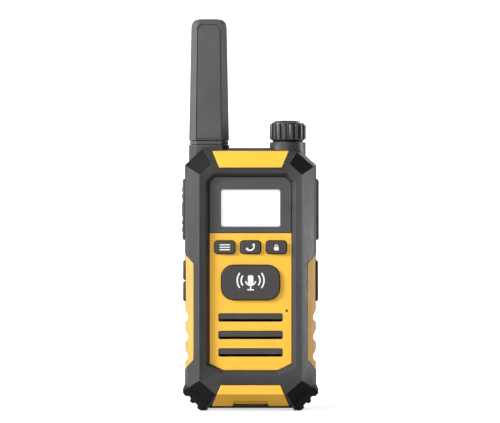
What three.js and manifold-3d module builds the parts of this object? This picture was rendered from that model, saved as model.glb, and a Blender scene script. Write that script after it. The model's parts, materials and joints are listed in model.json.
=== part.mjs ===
// A handheld two way radio: hollow front and rear housings with their bumpers, grips and face,
// the keys, display, speaker, microphone and board inside, a fixed aerial, a volume knob,
// two port covers, a sprung belt clip, and a hinged door over three AAA cells.
// Millimetres. +X is the user's right, -Y is the front, +Z is up. The aerial points up.
import * as THREE from "three";
import { mergeVertices } from "three/addons/utils/BufferGeometryUtils.js";
import Module from "manifold-3d";

const wasm = await Module();
wasm.setup();

// ---------------------------------------------------------------- driving dimensions
const bodyWidth = 56.2;
const bodyHeight = 110.35; // underside to top face, without the feet
const footHeight = 0.95;
const frontDepth = 22.5; // front ridge to the parting line
const trayBehind = 17.85; // front ridge to the battery tray
const shellWall = 3.1;
const rearWall = 2.2;
const seam = 0.8; // gap at the parting line, filled by the gasket
const seamGap = 0.15; // between fixed pieces that lie side by side
const topCut = [7.6, 6.6]; // corner chamfers of the body, across and up
const bottomCut = [9, 7.8];
const cornerShare = 1.15; // the corner facets are this much wider than the side bevels

// bevels round the front, as inset from the outline and distance behind the ridge
const bevelInset = 6.3;
const rim = { inset: 1.3, behind: 5 };
const sideEdgeBehind = 8.5;
const rearBevel = { inset: 3.8, depth: 3.8 };

// recess in the front, and what lies in it
const bezelSide = 9.0; // side of the body to the edge of the recess
const bezelTop = 10.1;
const bezelBottom = 14.65;
const stripDrop = 0.6; // the strip inside the ridge slopes back by this
const recessSlope = 1.6; // width of the recess's sloping wall
const plateBehind = 2.6; // front ridge to the face plate
const plateThick = 1.2;
const floorThick = 1.6;

// display and its keys
const bezelHeight = 23.9; // height of the display bezel, from the top of the recess floor
const windowSize = [25.3, 15.9];
const windowBelowTop = 5.4;
const keySize = [8.4, 5.2];
const keyPitch = 10.95;
const keyDrop = 6.1; // display bezel to the keys' middle
const talkSize = [24.6, 14.5];
const talkCorner = 5;
const talkDrop = 21.1; // display bezel to the middle of the talk button
const keyProud = 1.0;
const keyTravel = 0.8;
const talkTravel = 1.2;
const keyGap = 0.2;
const frontKeyGap = 0.35;
const flangeLip = 0.65;

// speaker and microphone
const slotSize = [27.4, 3.6];
const slotPitch = 7.44;
const slotRise = 15.1; // recess floor's lower edge to the middle slot
const louvreHeight = 2.3;
const speakerRadius = 13.4;
const microphoneAt = { fromSide: 12.7, rise: 25.4 };

// side keys and covers, by the distance below the body's top
const sideKeyBehind = 15.5; // front ridge to the middle of the side keys and covers
const sideKeyWidth = 8;
const upperSide = { below: 12.5, length: 26.2 };
const lowerSide = { below: 47.3, length: 17.6 };
const sideTravel = 0.8;
const sideKeyLip = 0.95;
const sideProud = 1.3;
const coverSwingLine = 0.4; // how far the covers' hinge line lies behind their rear edge

// grips
const gripInset = 3.8;
const gripSunk = 0.45;
const gripSink = 2.0;
const gripTopBelow = 43.4;
const gripBottomAbove = 15.6;
const gripSlant = [3.8, 5.2];
const scallop = { radius: 3, depth: 0.9, pitch: 8.5, count: 3, firstAbove: 21.9 };

// aerial
const aerialFromSide = 10.3;
const aerialBehind = 16;
const aerialBase = { width: 17.2, depth: 11.8, rise: 2.0 };
const aerialCollarHeight = 1.5;
const aerialSize = { width: 17.1, depth: 11.4, tipWidth: 15.2, tipDepth: 9.8, length: 52.1 };
const aerialTip = { length: 3.3, acrossIn: 3.3, depthIn: 2.1 }; // rounding of the tip

// volume control
const knobFromSide = 12.2;
const knobRadius = 7.8;
const knobHeight = 8.6;
const knobRibs = 16;
const collarRise = 3.1;
const collarRadius = knobRadius - 0.05;
const potSize = [8.4, 4.9]; // across and up
const shaftRadius = 3;
const sealHeight = 0.7;

// board
const boardBehindFloor = 5.6; // back of the recess floor to the board
const boardThick = 1.2;
const boardFromSide = 8;
const boardBelowTop = 10.5;

// power
const cellRadius = 5.25;
const cellLength = 44.5;
const cellCount = 3;
const cellGap = 0.35;
const springRoom = 4.6;
const contactRoom = 0.9;
const bayFloor = 1.2;
const trayWall = 1.4;
const doorThick = 1.75;
const doorLip = 1.3; // door past the bay's side
const doorRise = 5.6; // underside of the body to the door's hinge line
const doorBarrel = 1.1;
const doorPinRadius = 0.6;
const bayAboveHinge = 2.6;

// belt clip
const clipWidth = 20;
const clipLength = 45.5;
const clipThick = 2;
const clipPinRadius = 0.9;
const clipBelowTop = 12.1; // body's top to the clip's pin
const clipTab = 11; // pin to the clip's upper end
const clipKnuckle = 2.1;
const clipFlare = 1.9;
const bracketSize = [25, 15, 1.8];
const bracketScrewX = 9.2;

// fasteners
const screwRadius = 1.0;
const screwHole = 1.25;
const headRadius = 1.9;
const headHeight = 1.3;
const bossRadius = 2.4;

// ---------------------------------------------------------------- places worked out from them
const half = bodyWidth / 2;
const bottomZ = footHeight;
const topZ = footHeight + bodyHeight;
const bodyDepth = trayBehind + bayFloor + 2 * (cellRadius + cellGap) + doorThick;
const frontY = -bodyDepth / 2;
const backY = bodyDepth / 2;
const partingY = frontY + frontDepth;
const frontEndY = partingY - seam / 2;
const rearStartY = partingY + seam / 2;
const plateY = frontY + plateBehind;
const floorY = plateY + plateThick;
const cavityY = floorY + floorThick;
const recessTopZ = topZ - bezelTop;
const recessBottomZ = bottomZ + bezelBottom;
const floorTopZ = recessTopZ - recessSlope;
const floorBottomZ = recessBottomZ + recessSlope;
const displayBottomZ = floorTopZ - bezelHeight;
const windowZ = floorTopZ - windowBelowTop - windowSize[1] / 2;
const keyZ = displayBottomZ - keyDrop;
const talkZ = displayBottomZ - talkDrop;
const speakerZ = floorBottomZ + slotRise;
const boardHalf = half - boardFromSide;
const boardY = cavityY + boardBehindFloor;
const boardTopZ = topZ - boardBelowTop;
const sideKeyY = frontY + sideKeyBehind;
const aerialX = aerialFromSide - half;
const aerialY = frontY + aerialBehind;
const knobX = half - knobFromSide;
const knobY = frontEndY - collarRadius;
const wallX = half - shellWall; // inside of the side walls
const collarTopZ = topZ + collarRise;
const knobBottomZ = collarTopZ + sealHeight + 0.1;
const aerialBaseTopZ = topZ + aerialBase.rise;
const aerialBottomZ = aerialBaseTopZ + aerialCollarHeight + 2 * seamGap;
const cellPitch = 2 * cellRadius + cellGap;
const bayHalf = (cellCount * cellPitch + cellGap) / 2;
const doorHingeZ = bottomZ + doorRise;
const doorHingeY = backY - doorBarrel - 0.2;
const doorSwingRoom = backY - doorHingeY + 0.2;
const bayBottomZ = doorHingeZ + bayAboveHinge;
const bayTopZ = bayBottomZ + cellLength + springRoom + 2 * contactRoom;
const doorInnerY = backY - doorThick;
const cellY = doorInnerY - cellGap - cellRadius;
const bayY = cellY - cellRadius - cellGap;
const trayY = bayY - bayFloor;
const traySide = bayHalf + trayWall;
const doorHalf = bayHalf + doorLip;
const doorTopZ = bayTopZ + 3.4;
const pinZ = topZ - clipBelowTop;
const pinY = backY + bracketSize[2] + clipKnuckle + 0.3;
const clipInnerY = pinY + clipKnuckle + 0.3;
const clipOuterY = clipInnerY + clipThick;
const bracketTopZ = pinZ + 2.7;

// ---------------------------------------------------------------- shape helpers
function solidOf(geometry) {
  const bare = geometry.index ? geometry.toNonIndexed() : geometry;
  bare.deleteAttribute("normal");
  bare.deleteAttribute("uv");
  const welded = mergeVertices(bare, 1e-4);
  return new wasm.Manifold(
    new wasm.Mesh({
      numProp: 3,
      vertProperties: welded.attributes.position.array,
      triVerts: new Uint32Array(welded.index.array),
    }),
  );
}

function geometryOf(solid) {
  const mesh = solid.getMesh();
  const positions = new Float32Array(mesh.numVert * 3);
  for (let i = 0; i < mesh.numVert; i++) {
    positions.set(mesh.vertProperties.subarray(i * mesh.numProp, i * mesh.numProp + 3), i * 3);
  }
  const geometry = new THREE.BufferGeometry();
  geometry.setAttribute("position", new THREE.BufferAttribute(positions, 3));
  geometry.setIndex(new THREE.BufferAttribute(new Uint32Array(mesh.triVerts), 1));
  return geometry;
}

const join = (first, ...others) => others.reduce((sum, next) => sum.add(next), first);
const cut = (first, ...others) => others.reduce((rest, next) => rest.subtract(next), first);
const mirrorX = (solid) => solid.mirror([1, 0, 0]);

// a box between two corners
function block([x0, y0, z0], [x1, y1, z1]) {
  const box = new THREE.BoxGeometry(x1 - x0, y1 - y0, z1 - z0);
  return solidOf(box.translate((x0 + x1) / 2, (y0 + y1) / 2, (z0 + z1) / 2));
}

// an outline extruded along one axis, whose coordinates are the other two axes in X, Y, Z order
const planes = {
  x: new THREE.Matrix4().makeBasis(
    new THREE.Vector3(0, 1, 0),
    new THREE.Vector3(0, 0, 1),
    new THREE.Vector3(1, 0, 0),
  ),
  y: new THREE.Matrix4().makeRotationX(Math.PI / 2),
  z: new THREE.Matrix4(),
};
function prism(axis, outline, from, to) {
  const shape = new THREE.Shape(outline.map(([a, b]) => new THREE.Vector2(a, b)));
  const slab = new THREE.ExtrudeGeometry(shape, { depth: to - from, bevelEnabled: false });
  slab.translate(0, 0, axis === "y" ? -to : from);
  return solidOf(slab.applyMatrix4(planes[axis]));
}

// a round bar along one axis, centred on the other two coordinates
function bar(axis, radius, [a, b], from, to, sides = 16) {
  const outline = [];
  for (let i = 0; i < sides; i++) {
    const turn = ((i + 0.5) * 2 * Math.PI) / sides;
    outline.push([a + radius * Math.cos(turn), b + radius * Math.sin(turn)]);
  }
  return prism(axis, outline, from, to);
}

// a rectangle with round corners
function roundedRect([a, b], [width, height], radius, steps = 3) {
  const points = [];
  const corners = [
    [1, 1, 0],
    [-1, 1, 1],
    [-1, -1, 2],
    [1, -1, 3],
  ];
  for (const [sideA, sideB, quarter] of corners) {
    for (let i = 0; i <= steps; i++) {
      const turn = ((quarter + i / steps) * Math.PI) / 2;
      points.push([
        a + sideA * (width / 2 - radius) + radius * Math.cos(turn),
        b + sideB * (height / 2 - radius) + radius * Math.sin(turn),
      ]);
    }
  }
  return points;
}

// an upright rectangle whose four corners are cut off
function cutRect([a, b], [width, height], [cutA, cutB]) {
  const w = width / 2;
  const h = height / 2;
  const quarter = [
    [w, h - cutB],
    [w - cutA, h],
  ];
  const turned = quarter.map(([x, y]) => [-x, y]).reverse();
  const upper = [...quarter, ...turned];
  return [...upper, ...upper.map(([x, y]) => [-x, -y])].map(([x, y]) => [a + x, b + y]);
}

// a closed body through rings of equally many points, with flat ends
function loft(rings) {
  const faces = [];
  const count = rings[0].length;
  for (let r = 0; r + 1 < rings.length; r++) {
    for (let i = 0; i < count; i++) {
      const j = (i + 1) % count;
      faces.push([rings[r][i], rings[r][j], rings[r + 1][j]]);
      faces.push([rings[r][i], rings[r + 1][j], rings[r + 1][i]]);
    }
  }
  const last = rings.length - 1;
  for (let i = 1; i + 1 < count; i++) {
    faces.push([rings[0][0], rings[0][i + 1], rings[0][i]]);
    faces.push([rings[last][0], rings[last][i], rings[last][i + 1]]);
  }
  const made = (list) => {
    const geometry = new THREE.BufferGeometry();
    geometry.setAttribute("position", new THREE.Float32BufferAttribute(list.flat(2), 3));
    return solidOf(geometry);
  };
  const solid = made(faces);
  return solid.volume() > 0 ? solid : made(faces.map(([p, q, r]) => [p, r, q]));
}

// a profile of [radius, height] turned about a vertical axis, then tipped along another axis
function turned(profile, sides, axis, [x, y, z]) {
  const geometry = new THREE.LatheGeometry(
    profile.map(([radius, height]) => new THREE.Vector2(radius, height)),
    sides,
  );
  if (axis === "z") geometry.rotateX(Math.PI / 2);
  if (axis === "x") geometry.rotateZ(-Math.PI / 2);
  const solid = solidOf(geometry.translate(x, y, z));
  if (solid.volume() > 0) return solid;
  return turned([...profile].reverse(), sides, axis, [x, y, z]);
}

// a round wire along a curve
function wire(curve, radius, steps, sides = 6) {
  const section = new THREE.Shape();
  for (let i = 0; i < sides; i++) {
    const turn = (i * 2 * Math.PI) / sides;
    const point = [radius * Math.cos(turn), radius * Math.sin(turn)];
    if (i === 0) section.moveTo(...point);
    else section.lineTo(...point);
  }
  return solidOf(new THREE.ExtrudeGeometry(section, { steps, extrudePath: curve, bevelEnabled: false }));
}

// a helix about an upright line, whose radius changes evenly from its foot to its head
class Helix extends THREE.Curve {
  constructor({ foot, radii, height, turns }) {
    super();
    Object.assign(this, { foot, radii, height, turns });
  }
  getPoint(t, target = new THREE.Vector3()) {
    const turn = t * this.turns * 2 * Math.PI;
    const radius = this.radii[0] + (this.radii[1] - this.radii[0]) * t;
    return target.set(
      this.foot[0] + radius * Math.cos(turn),
      this.foot[1] + radius * Math.sin(turn),
      this.foot[2] + this.height * t,
    );
  }
}

// ---------------------------------------------------------------- the body's outline and skin
// the eight corners, in [x, z], of an upright outline with cut corners, moved inwards by inset
function eightSides({ side, top, bottom, upper, lower }, inset = 0, share = cornerShare) {
  const lineEnds = (cutAway, edgeZ, up) => {
    const length = Math.hypot(...cutAway);
    const normal = [cutAway[1] / length, (up * cutAway[0]) / length];
    const reach = side * normal[0] + (edgeZ - up * cutAway[1]) * normal[1] - inset * share;
    const z = edgeZ - up * inset;
    const x = side - inset;
    return [
      [x, (reach - x * normal[0]) / normal[1]],
      [(reach - z * normal[1]) / normal[0], z],
    ];
  };
  const right = [...lineEnds(lower, bottom, -1).reverse(), ...lineEnds(upper, top, 1)];
  return [...right, ...right.map(([x, z]) => [-x, z]).reverse()];
}
const bodyOutline = { side: half, top: topZ, bottom: bottomZ, upper: topCut, lower: bottomCut };
const recessOutline = {
  side: half - bezelSide,
  top: recessTopZ,
  bottom: recessBottomZ,
  upper: [3.4, 3.4],
  lower: [7.2, 3.5],
};
const atDepth = (outline, y) => outline.map(([x, z]) => [x, y, z]);

// a profile of [inset, y] pairs moved inwards by sink, measured square to each face
function sunk(profile, sink) {
  const normals = profile.slice(1).map(([inset, y], i) => {
    const [fromInset, fromY] = profile[i];
    const length = Math.hypot(inset - fromInset, y - fromY);
    return [(fromY - y) / length, (inset - fromInset) / length];
  });
  return profile.slice(0, -1).map(([inset, y], i) => {
    const before = normals[Math.max(i - 1, 0)];
    const after = normals[i];
    const share = sink / (1 + before[0] * after[0] + before[1] * after[1]);
    return [inset + share * (before[0] + after[0]), y + share * (before[1] + after[1])];
  });
}

// The solid inside the front half's outer faces, moved inwards by sink.
// The profile's last point only sets the slope of the front face.
function frontSkin(sink, endY = frontEndY) {
  const profile = [
    [0, endY],
    [0, frontY + sideEdgeBehind],
    [rim.inset, frontY + rim.behind],
    [bevelInset, frontY],
    [2 * bevelInset, frontY],
  ];
  return loft(sunk(profile, sink).map(([inset, y]) => atDepth(eightSides(bodyOutline, inset), y)));
}

function rearSkin(sink, startY = rearStartY) {
  const slope = Math.SQRT2 - 1; // the bevel lies at 45 degrees, so its ends move by this share of the sink
  const rings = [
    [sink, startY],
    [sink, backY - rearBevel.depth - sink * slope],
    [rearBevel.inset + sink * slope, backY - sink],
  ];
  return loft(rings.map(([inset, y]) => atDepth(eightSides(bodyOutline, inset), y)));
}

// ---------------------------------------------------------------- bumpers, grips and guards, in [x, z]
const ridgeOutline = eightSides(bodyOutline, bevelInset);
const outerOutline = eightSides(bodyOutline);
const capLift = 0.25; // the bumpers stand this far out of the housing
const capSink = 1.2;
const topCap = { wide: 16.5, narrow: 13.3, bottom: topZ - 7.9, top: topZ - 0.2 };
const bottomCap = { wide: 16.4, narrow: 12.7, bottom: bottomZ + 0.9, top: bottomZ + 10.05 };
const capEndY = frontY + 6.2; // the caps end here, in front of the knob's collar

function capOutline({ wide, narrow, bottom, top }, widerAt, grow = 0) {
  const low = widerAt === "bottom" ? wide : narrow;
  const high = widerAt === "bottom" ? narrow : wide;
  return [
    [-low - grow, bottom - grow],
    [low + grow, bottom - grow],
    [high + grow, top + grow],
    [-high - grow, top + grow],
  ];
}

// the outline of the corner facet between corners i and j of the eight, carried on past the body
function facetOutline(i, j, grow = 0) {
  const outward = (k) => {
    const [x, z] = ridgeOutline[k];
    const [outX, outZ] = outerOutline[k];
    return [x + 1.6 * (outX - x), z + 1.6 * (outZ - z)];
  };
  const points = [ridgeOutline[i], ridgeOutline[j], outward(j), outward(i)];
  const middle = [0, 1].map((k) => points.reduce((sum, p) => sum + p[k], 0) / points.length);
  return points.map(([x, z]) => {
    const reach = Math.hypot(x - middle[0], z - middle[1]);
    const scale = 1 + (grow * 1.5) / reach;
    return [middle[0] + (x - middle[0]) * scale, middle[1] + (z - middle[1]) * scale];
  });
}
const guardSink = 1.6;
const facets = {
  bottom_right: [1, 0],
  top_right: [3, 2],
  top_left: [5, 4],
  bottom_left: [7, 6],
};

function gripOutline(grow = 0) {
  const inner = half - gripInset - grow;
  const top = topZ - gripTopBelow + grow;
  const bottom = bottomZ + gripBottomAbove - grow;
  return [
    [inner, bottom + gripSlant[1]],
    [inner + gripSlant[0] + 1, bottom],
    [half + 3, bottom - 1],
    [half + 3, top + 1],
    [inner + gripSlant[0] + 1, top],
    [inner, top - gripSlant[1]],
  ];
}

// the finger grooves across the left side, and across both sides
const leftScallops = (fromY, toY) =>
  Array.from({ length: scallop.count }, (_, i) => {
    const z = bottomZ + scallop.firstAbove + i * scallop.pitch;
    return bar("y", scallop.radius, [scallop.depth - scallop.radius - gripX, z], fromY, toY, 28);
  });
const scallops = (fromY, toY) => leftScallops(fromY, toY).flatMap((groove) => [groove, mirrorX(groove)]);

// the tread under a bottom corner, as [distance in from the side wall, height above the floor]
const treadOutline = [
  [0, 11.1],
  [-0.8, 9.2],
  [-0.8, 7.6],
  [0.3, 6.2],
  [2.0, 6.1],
  [2.6, 5.2],
  [2.2, 4.0],
  [3.3, 3.0],
  [4.4, 3.4],
  [5.7, 2.0],
  [5.2, 1.2],
  [6.5, 0.2],
  [7.1, 0],
  [9.4, 0],
  [10.5, 1.6],
  [10.2, 5],
  [3, 11.1],
].map(([inward, z]) => [half - inward, z + footHeight - 0.95]);
const tread = (fromY, toY) => {
  const right = prism("y", [...treadOutline].reverse(), fromY, toY);
  return join(right, mirrorX(right));
};

// ---------------------------------------------------------------- places of the side keys and covers
const upperTopZ = topZ - upperSide.below;
const upperBottomZ = upperTopZ - upperSide.length;
const lowerTopZ = topZ - lowerSide.below;
const lowerBottomZ = lowerTopZ - lowerSide.length;
const gripX = half - gripSunk; // outer face of the grips
const rockerGap = 0.5;
const rockerLength = (lowerSide.length - rockerGap) / 2;
const sideKeys = {
  side_talk_key: { face: half, bottom: upperBottomZ, length: upperSide.length, ribs: true },
  down_key: { face: gripX, bottom: lowerBottomZ, length: rockerLength },
  up_key: { face: gripX, bottom: lowerTopZ - rockerLength, length: rockerLength },
};
const portCovers = {
  jack_cover: { face: half, bottom: upperBottomZ, length: upperSide.length },
  charge_cover: { face: gripX, bottom: lowerBottomZ, length: lowerSide.length },
};
const coverThick = 1.4; // cover below the wall's face
const hingeRadius = 0.6;
const hingeLineY = sideKeyY + sideKeyWidth / 2 + coverSwingLine;
const jackHoles = [
  { radius: 1.75, z: upperBottomZ + 8 },
  { radius: 1.25, z: upperBottomZ + 18 },
];
const chargePortZ = (lowerTopZ + lowerBottomZ) / 2;
const chargePort = [3.2, 9]; // front to back, and up

// ---------------------------------------------------------------- front housing
const caseScrews = {
  case_screw_top_left: [-7, topZ - 7],
  case_screw_top_right: [7, topZ - 7],
  case_screw_bottom_left: [-traySide - bossRadius - 1.2, bottomZ + 10.6],
  case_screw_bottom_right: [traySide + bossRadius + 1.2, bottomZ + 10.6],
};

// the raised feet of the aerial and of the volume knob, which stand past the corner guards
const bossFootZ = topZ - 8;
const aerialBoss = (grow) =>
  prism(
    "z",
    cutRect([aerialX, aerialY], [aerialBase.width + 2 * grow, aerialBase.depth + 2 * grow], [3, 3]),
    bossFootZ - grow,
    aerialBaseTopZ,
  );
const knobCollar = (grow) =>
  bar("z", collarRadius + grow, [knobX, knobY], bossFootZ - grow, collarTopZ, 32);

function frontHousing() {
  const bridge = block([aerialX + 8, frontY + 10, topZ - 1], [knobX - 6.8, frontEndY - 0.7, topZ + 0.7]);
  const flare = cut(
    tread(frontY + rim.behind, frontEndY),
    ...[facets.bottom_left, facets.bottom_right].map((ends) =>
      prism("y", facetOutline(...ends, seamGap), frontY - 1, frontEndY + 1),
    ),
  );
  let shell = join(frontSkin(0), aerialBoss(0), knobCollar(0), bridge, flare);
  // the strip inside the ridge, the recess and its floor
  const recessEdge = eightSides(recessOutline);
  const floorEdge = eightSides(recessOutline, recessSlope, 1);
  const stripY = frontY + stripDrop;
  shell = cut(
    shell,
    loft([atDepth(ridgeOutline, frontY - 1), atDepth(ridgeOutline, frontY), atDepth(recessEdge, stripY)]),
    loft([atDepth(recessEdge, frontY - 1), atDepth(recessEdge, stripY), atDepth(floorEdge, plateY)]),
    prism("y", floorEdge, plateY - 0.5, floorY),
  );
  // the hollow, left solid in front of the recess floor
  const hollow = frontSkin(shellWall, partingY + 1).intersect(
    block([-half, cavityY, 0], [half, partingY + 2, topZ + 9]),
  );
  shell = cut(shell, hollow);
  for (const [x, z] of Object.values(caseScrews)) {
    shell = join(shell, bar("y", bossRadius, [x, z], cavityY - 0.5, frontEndY, 12));
    shell = cut(shell, bar("y", screwHole, [x, z], frontY + 12, partingY + 1, 10));
  }
  // pockets for the caps, corner guards and grips
  const pocket = (outline, sink, endY) =>
    cut(
      prism("y", outline, frontY - 2, endY),
      frontSkin(sink + seamGap, frontEndY + 3),
      aerialBoss(0),
      knobCollar(0),
    );
  const gripPocket = pocket(gripOutline(seamGap), gripSink, frontEndY - 0.5);
  shell = cut(
    shell,
    pocket(capOutline(topCap, "top", seamGap), capSink, capEndY + seamGap),
    pocket(capOutline(bottomCap, "bottom", seamGap), capSink, capEndY + seamGap),
    gripPocket,
    mirrorX(gripPocket),
    ...Object.values(facets).map((f) => pocket(facetOutline(...f, seamGap), guardSink, frontEndY - 0.5)),
    ...scallops(frontEndY - 1, partingY),
  );
  // openings in the front
  const throughFloor = (outline) => prism("y", outline, plateY - 2, cavityY + 0.5);
  shell = cut(
    shell,
    ...frontKeys.map(({ outline }) => throughFloor(outline(frontKeyGap))),
    throughFloor(roundedRect([0, windowZ], windowSize, 0.8, 2)),
    prism("y", grilleOutline(seamGap), floorY - 1, floorY + 0.8),
    ...louvreSlits().map((outline) => throughFloor(outline)),
    bar("y", 0.55, microphonePlace(), floorY - 1, cavityY + 1, 8),
  );
  // openings in the sides
  for (const key of Object.values(sideKeys)) {
    shell = cut(shell, sideKeyShape(key, keyGap, wallX - 1, half + 2));
  }
  for (const cover of Object.values(portCovers)) {
    const { face, bottom, length } = cover;
    shell = cut(
      shell,
      mirrorX(sideKeyShape(cover, keyGap, face - coverThick - seamGap, half + 2)),
      bar("z", hingeRadius + 0.25, [face, hingeLineY], bottom - keyGap, bottom + length + keyGap, 12),
    );
  }
  for (const { radius, z } of jackHoles) {
    shell = cut(shell, bar("x", radius + 0.5, [sideKeyY, z], wallX - 2, half + 2, 14));
  }
  const portHole = roundedRect([sideKeyY, chargePortZ], chargePort.map((size) => size + 1), 1.8, 3);
  shell = cut(
    shell,
    prism("x", portHole, wallX - 2, half + 2),
    bar("z", shaftRadius + 0.3, [knobX, knobY], topZ - 8, collarTopZ + 1, 16),
    bar("z", studRadius + 0.2, [aerialX, aerialY], topZ - 12, aerialBaseTopZ + 1, 12),
  );
  return shell;
}

// the outline, in [y, z], of a side key or cover that is wider or narrower all round by grow
const sideOutline = (bottom, length, grow, radius) =>
  roundedRect([sideKeyY, bottom + length / 2], [sideKeyWidth + 2 * grow, length + 2 * grow], radius, 2);

// a key's rounded block on the left side, standing from one distance out to another
function sideKeyShape({ bottom, length }, grow, fromX, toX) {
  return prism("x", sideOutline(bottom, length, grow, 1.2), -toX, -fromX);
}

// ---------------------------------------------------------------- front keys, face plate and display
const keyOutline = (x) => (grow) =>
  roundedRect([x, keyZ], [keySize[0] + 2 * grow, keySize[1] + 2 * grow], 1.1 + grow);
const talkOutline = (grow) =>
  roundedRect([0, talkZ], talkSize.map((size) => size + 2 * grow), talkCorner + grow, 4);
const frontKeys = [
  { name: "menu_key", outline: keyOutline(-keyPitch), travel: keyTravel, at: [-keyPitch, keyZ] },
  { name: "call_key", outline: keyOutline(0), travel: keyTravel, at: [0, keyZ] },
  { name: "lock_key", outline: keyOutline(keyPitch), travel: keyTravel, at: [keyPitch, keyZ] },
  { name: "talk_button", outline: talkOutline, travel: talkTravel, at: [0, talkZ] },
];

const stemEndY = boardY - 2.8;

// a key cap with the lip that keeps it in, and the stem that presses its switch
function frontKey({ outline, at: [x, z] }) {
  const lipY = cavityY + 0.15;
  return join(
    prism("y", outline(0), plateY - keyProud, lipY + 0.5),
    prism("y", outline(flangeLip), lipY, lipY + 0.9),
    bar("y", 1.4, [x, z], lipY + 0.5, stemEndY, 10),
  );
}

function plateOutline(fromZ, toZ) {
  const whole = eightSides(recessOutline, recessSlope + seamGap, 1);
  return prism("y", whole, plateY, floorY - 0.02).intersect(
    block([-half, plateY - 1, fromZ], [half, floorY + 1, toZ]),
  );
}

const microphonePlace = () => [half - microphoneAt.fromSide, floorBottomZ + microphoneAt.rise];
const slotOutline = (i, grow = 0) =>
  roundedRect([0, speakerZ + i * slotPitch], [slotSize[0] + 2 * grow, slotSize[1] + 2 * grow], 0.7, 2);
const louvreSlits = () =>
  [-1, 0, 1].map((i) => {
    const low = speakerZ + i * slotPitch - slotSize[1] / 2;
    const height = slotSize[1] - louvreHeight - 0.35;
    return roundedRect([0, low + 0.1 + height / 2], [slotSize[0] - 1.4, height], 0.3, 1);
  });
const grilleSize = [slotSize[0] + 3.2, 2 * slotPitch + slotSize[1] + 2.4];
const grilleOutline = (grow = 0) =>
  roundedRect([0, speakerZ], grilleSize.map((size) => size + 2 * grow), 1.2, 2);

function facePlate() {
  return cut(
    plateOutline(0, displayBottomZ - seamGap),
    ...frontKeys.map(({ outline }) => prism("y", outline(frontKeyGap), plateY - 1, floorY + 1)),
    ...[-1, 0, 1].map((i) => prism("y", slotOutline(i), plateY - 1, floorY + 1)),
    bar("y", 0.55, microphonePlace(), plateY - 1, floorY + 1, 8),
  );
}

function speakerGrille() {
  const louvres = [-1, 0, 1].map((i) => {
    const top = speakerZ + i * slotPitch + slotSize[1] / 2 - 0.15;
    const outline = roundedRect([0, top - louvreHeight / 2], [slotSize[0] - 0.4, louvreHeight], 0.4, 1);
    return prism("y", outline, plateY + 0.15, floorY + 0.3);
  });
  const backing = prism("y", grilleOutline(), floorY + 0.05, floorY + 0.7);
  return cut(join(backing, ...louvres), ...louvreSlits().map((o) => prism("y", o, plateY, floorY + 1)));
}

function displayBezel() {
  const opening = roundedRect([0, windowZ], windowSize, 0.8, 2);
  return cut(plateOutline(displayBottomZ, topZ), prism("y", opening, plateY - 1, floorY + 1));
}

function displayWindow() {
  const size = windowSize.map((s) => s - 2 * seamGap);
  return prism("y", roundedRect([0, windowZ], size, 0.7, 2), plateY + 0.1, floorY - 0.3);
}

function lcdModule() {
  const glass = windowSize.map((s) => s - 0.5);
  const holder = windowSize.map((s) => s + 4.4);
  return join(
    prism("y", roundedRect([0, windowZ], glass, 0.6, 1), floorY - 0.2, cavityY + 1),
    prism("y", roundedRect([0, windowZ], holder, 0.5, 1), cavityY + seamGap, cavityY + 3.1),
  );
}

// ---------------------------------------------------------------- bumpers, guards and grips
function cap(shape, widerAt) {
  const outline = capOutline(shape, widerAt);
  return cut(
    prism("y", outline, frontY - 2, capEndY).intersect(frontSkin(-capLift)),
    frontSkin(capSink),
    knobCollar(seamGap),
    aerialBoss(seamGap),
  );
}

function lowerCap() {
  const notch = prism(
    "y",
    [
      [-7.9, bottomCap.bottom - 1],
      [7.9, bottomCap.bottom - 1],
      [7.0, bottomCap.bottom + 2.3],
      [-7.0, bottomCap.bottom + 2.3],
    ],
    frontY - 1,
    capEndY + 1,
  );
  return cut(cap(bottomCap, "bottom"), cut(notch, frontSkin(0.75)));
}

function cornerGuard(corner) {
  const facet = prism("y", facetOutline(...facets[corner]), frontY - 2, frontEndY - 0.65);
  const rubber = facet.intersect(frontSkin(0));
  const solid = corner.startsWith("bottom")
    ? join(rubber, facet.intersect(tread(frontY + rim.behind, frontEndY - 0.65)))
    : rubber;
  return cut(solid, frontSkin(guardSink), aerialBoss(seamGap), knobCollar(seamGap));
}

function leftGrip() {
  const outline = gripOutline().map(([x, z]) => [-x, z]).reverse();
  let grip = prism("y", outline, frontY, frontEndY - 0.65).intersect(frontSkin(gripSunk));
  grip = cut(grip, frontSkin(gripSink));
  return cut(grip, ...leftScallops(frontY, partingY));
}

function gripWithOpenings(side) {
  if (side === "left") {
    const keys = [sideKeys.up_key, sideKeys.down_key];
    return cut(leftGrip(), ...keys.map((key) => sideKeyShape(key, keyGap, half - 4, half + 2)));
  }
  const { face, bottom, length } = portCovers.charge_cover;
  return cut(
    mirrorX(leftGrip()),
    mirrorX(sideKeyShape(portCovers.charge_cover, keyGap, half - 4, half + 2)),
    bar("z", hingeRadius + 0.25, [face, hingeLineY], bottom - keyGap, bottom + length + keyGap, 12),
  );
}

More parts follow.
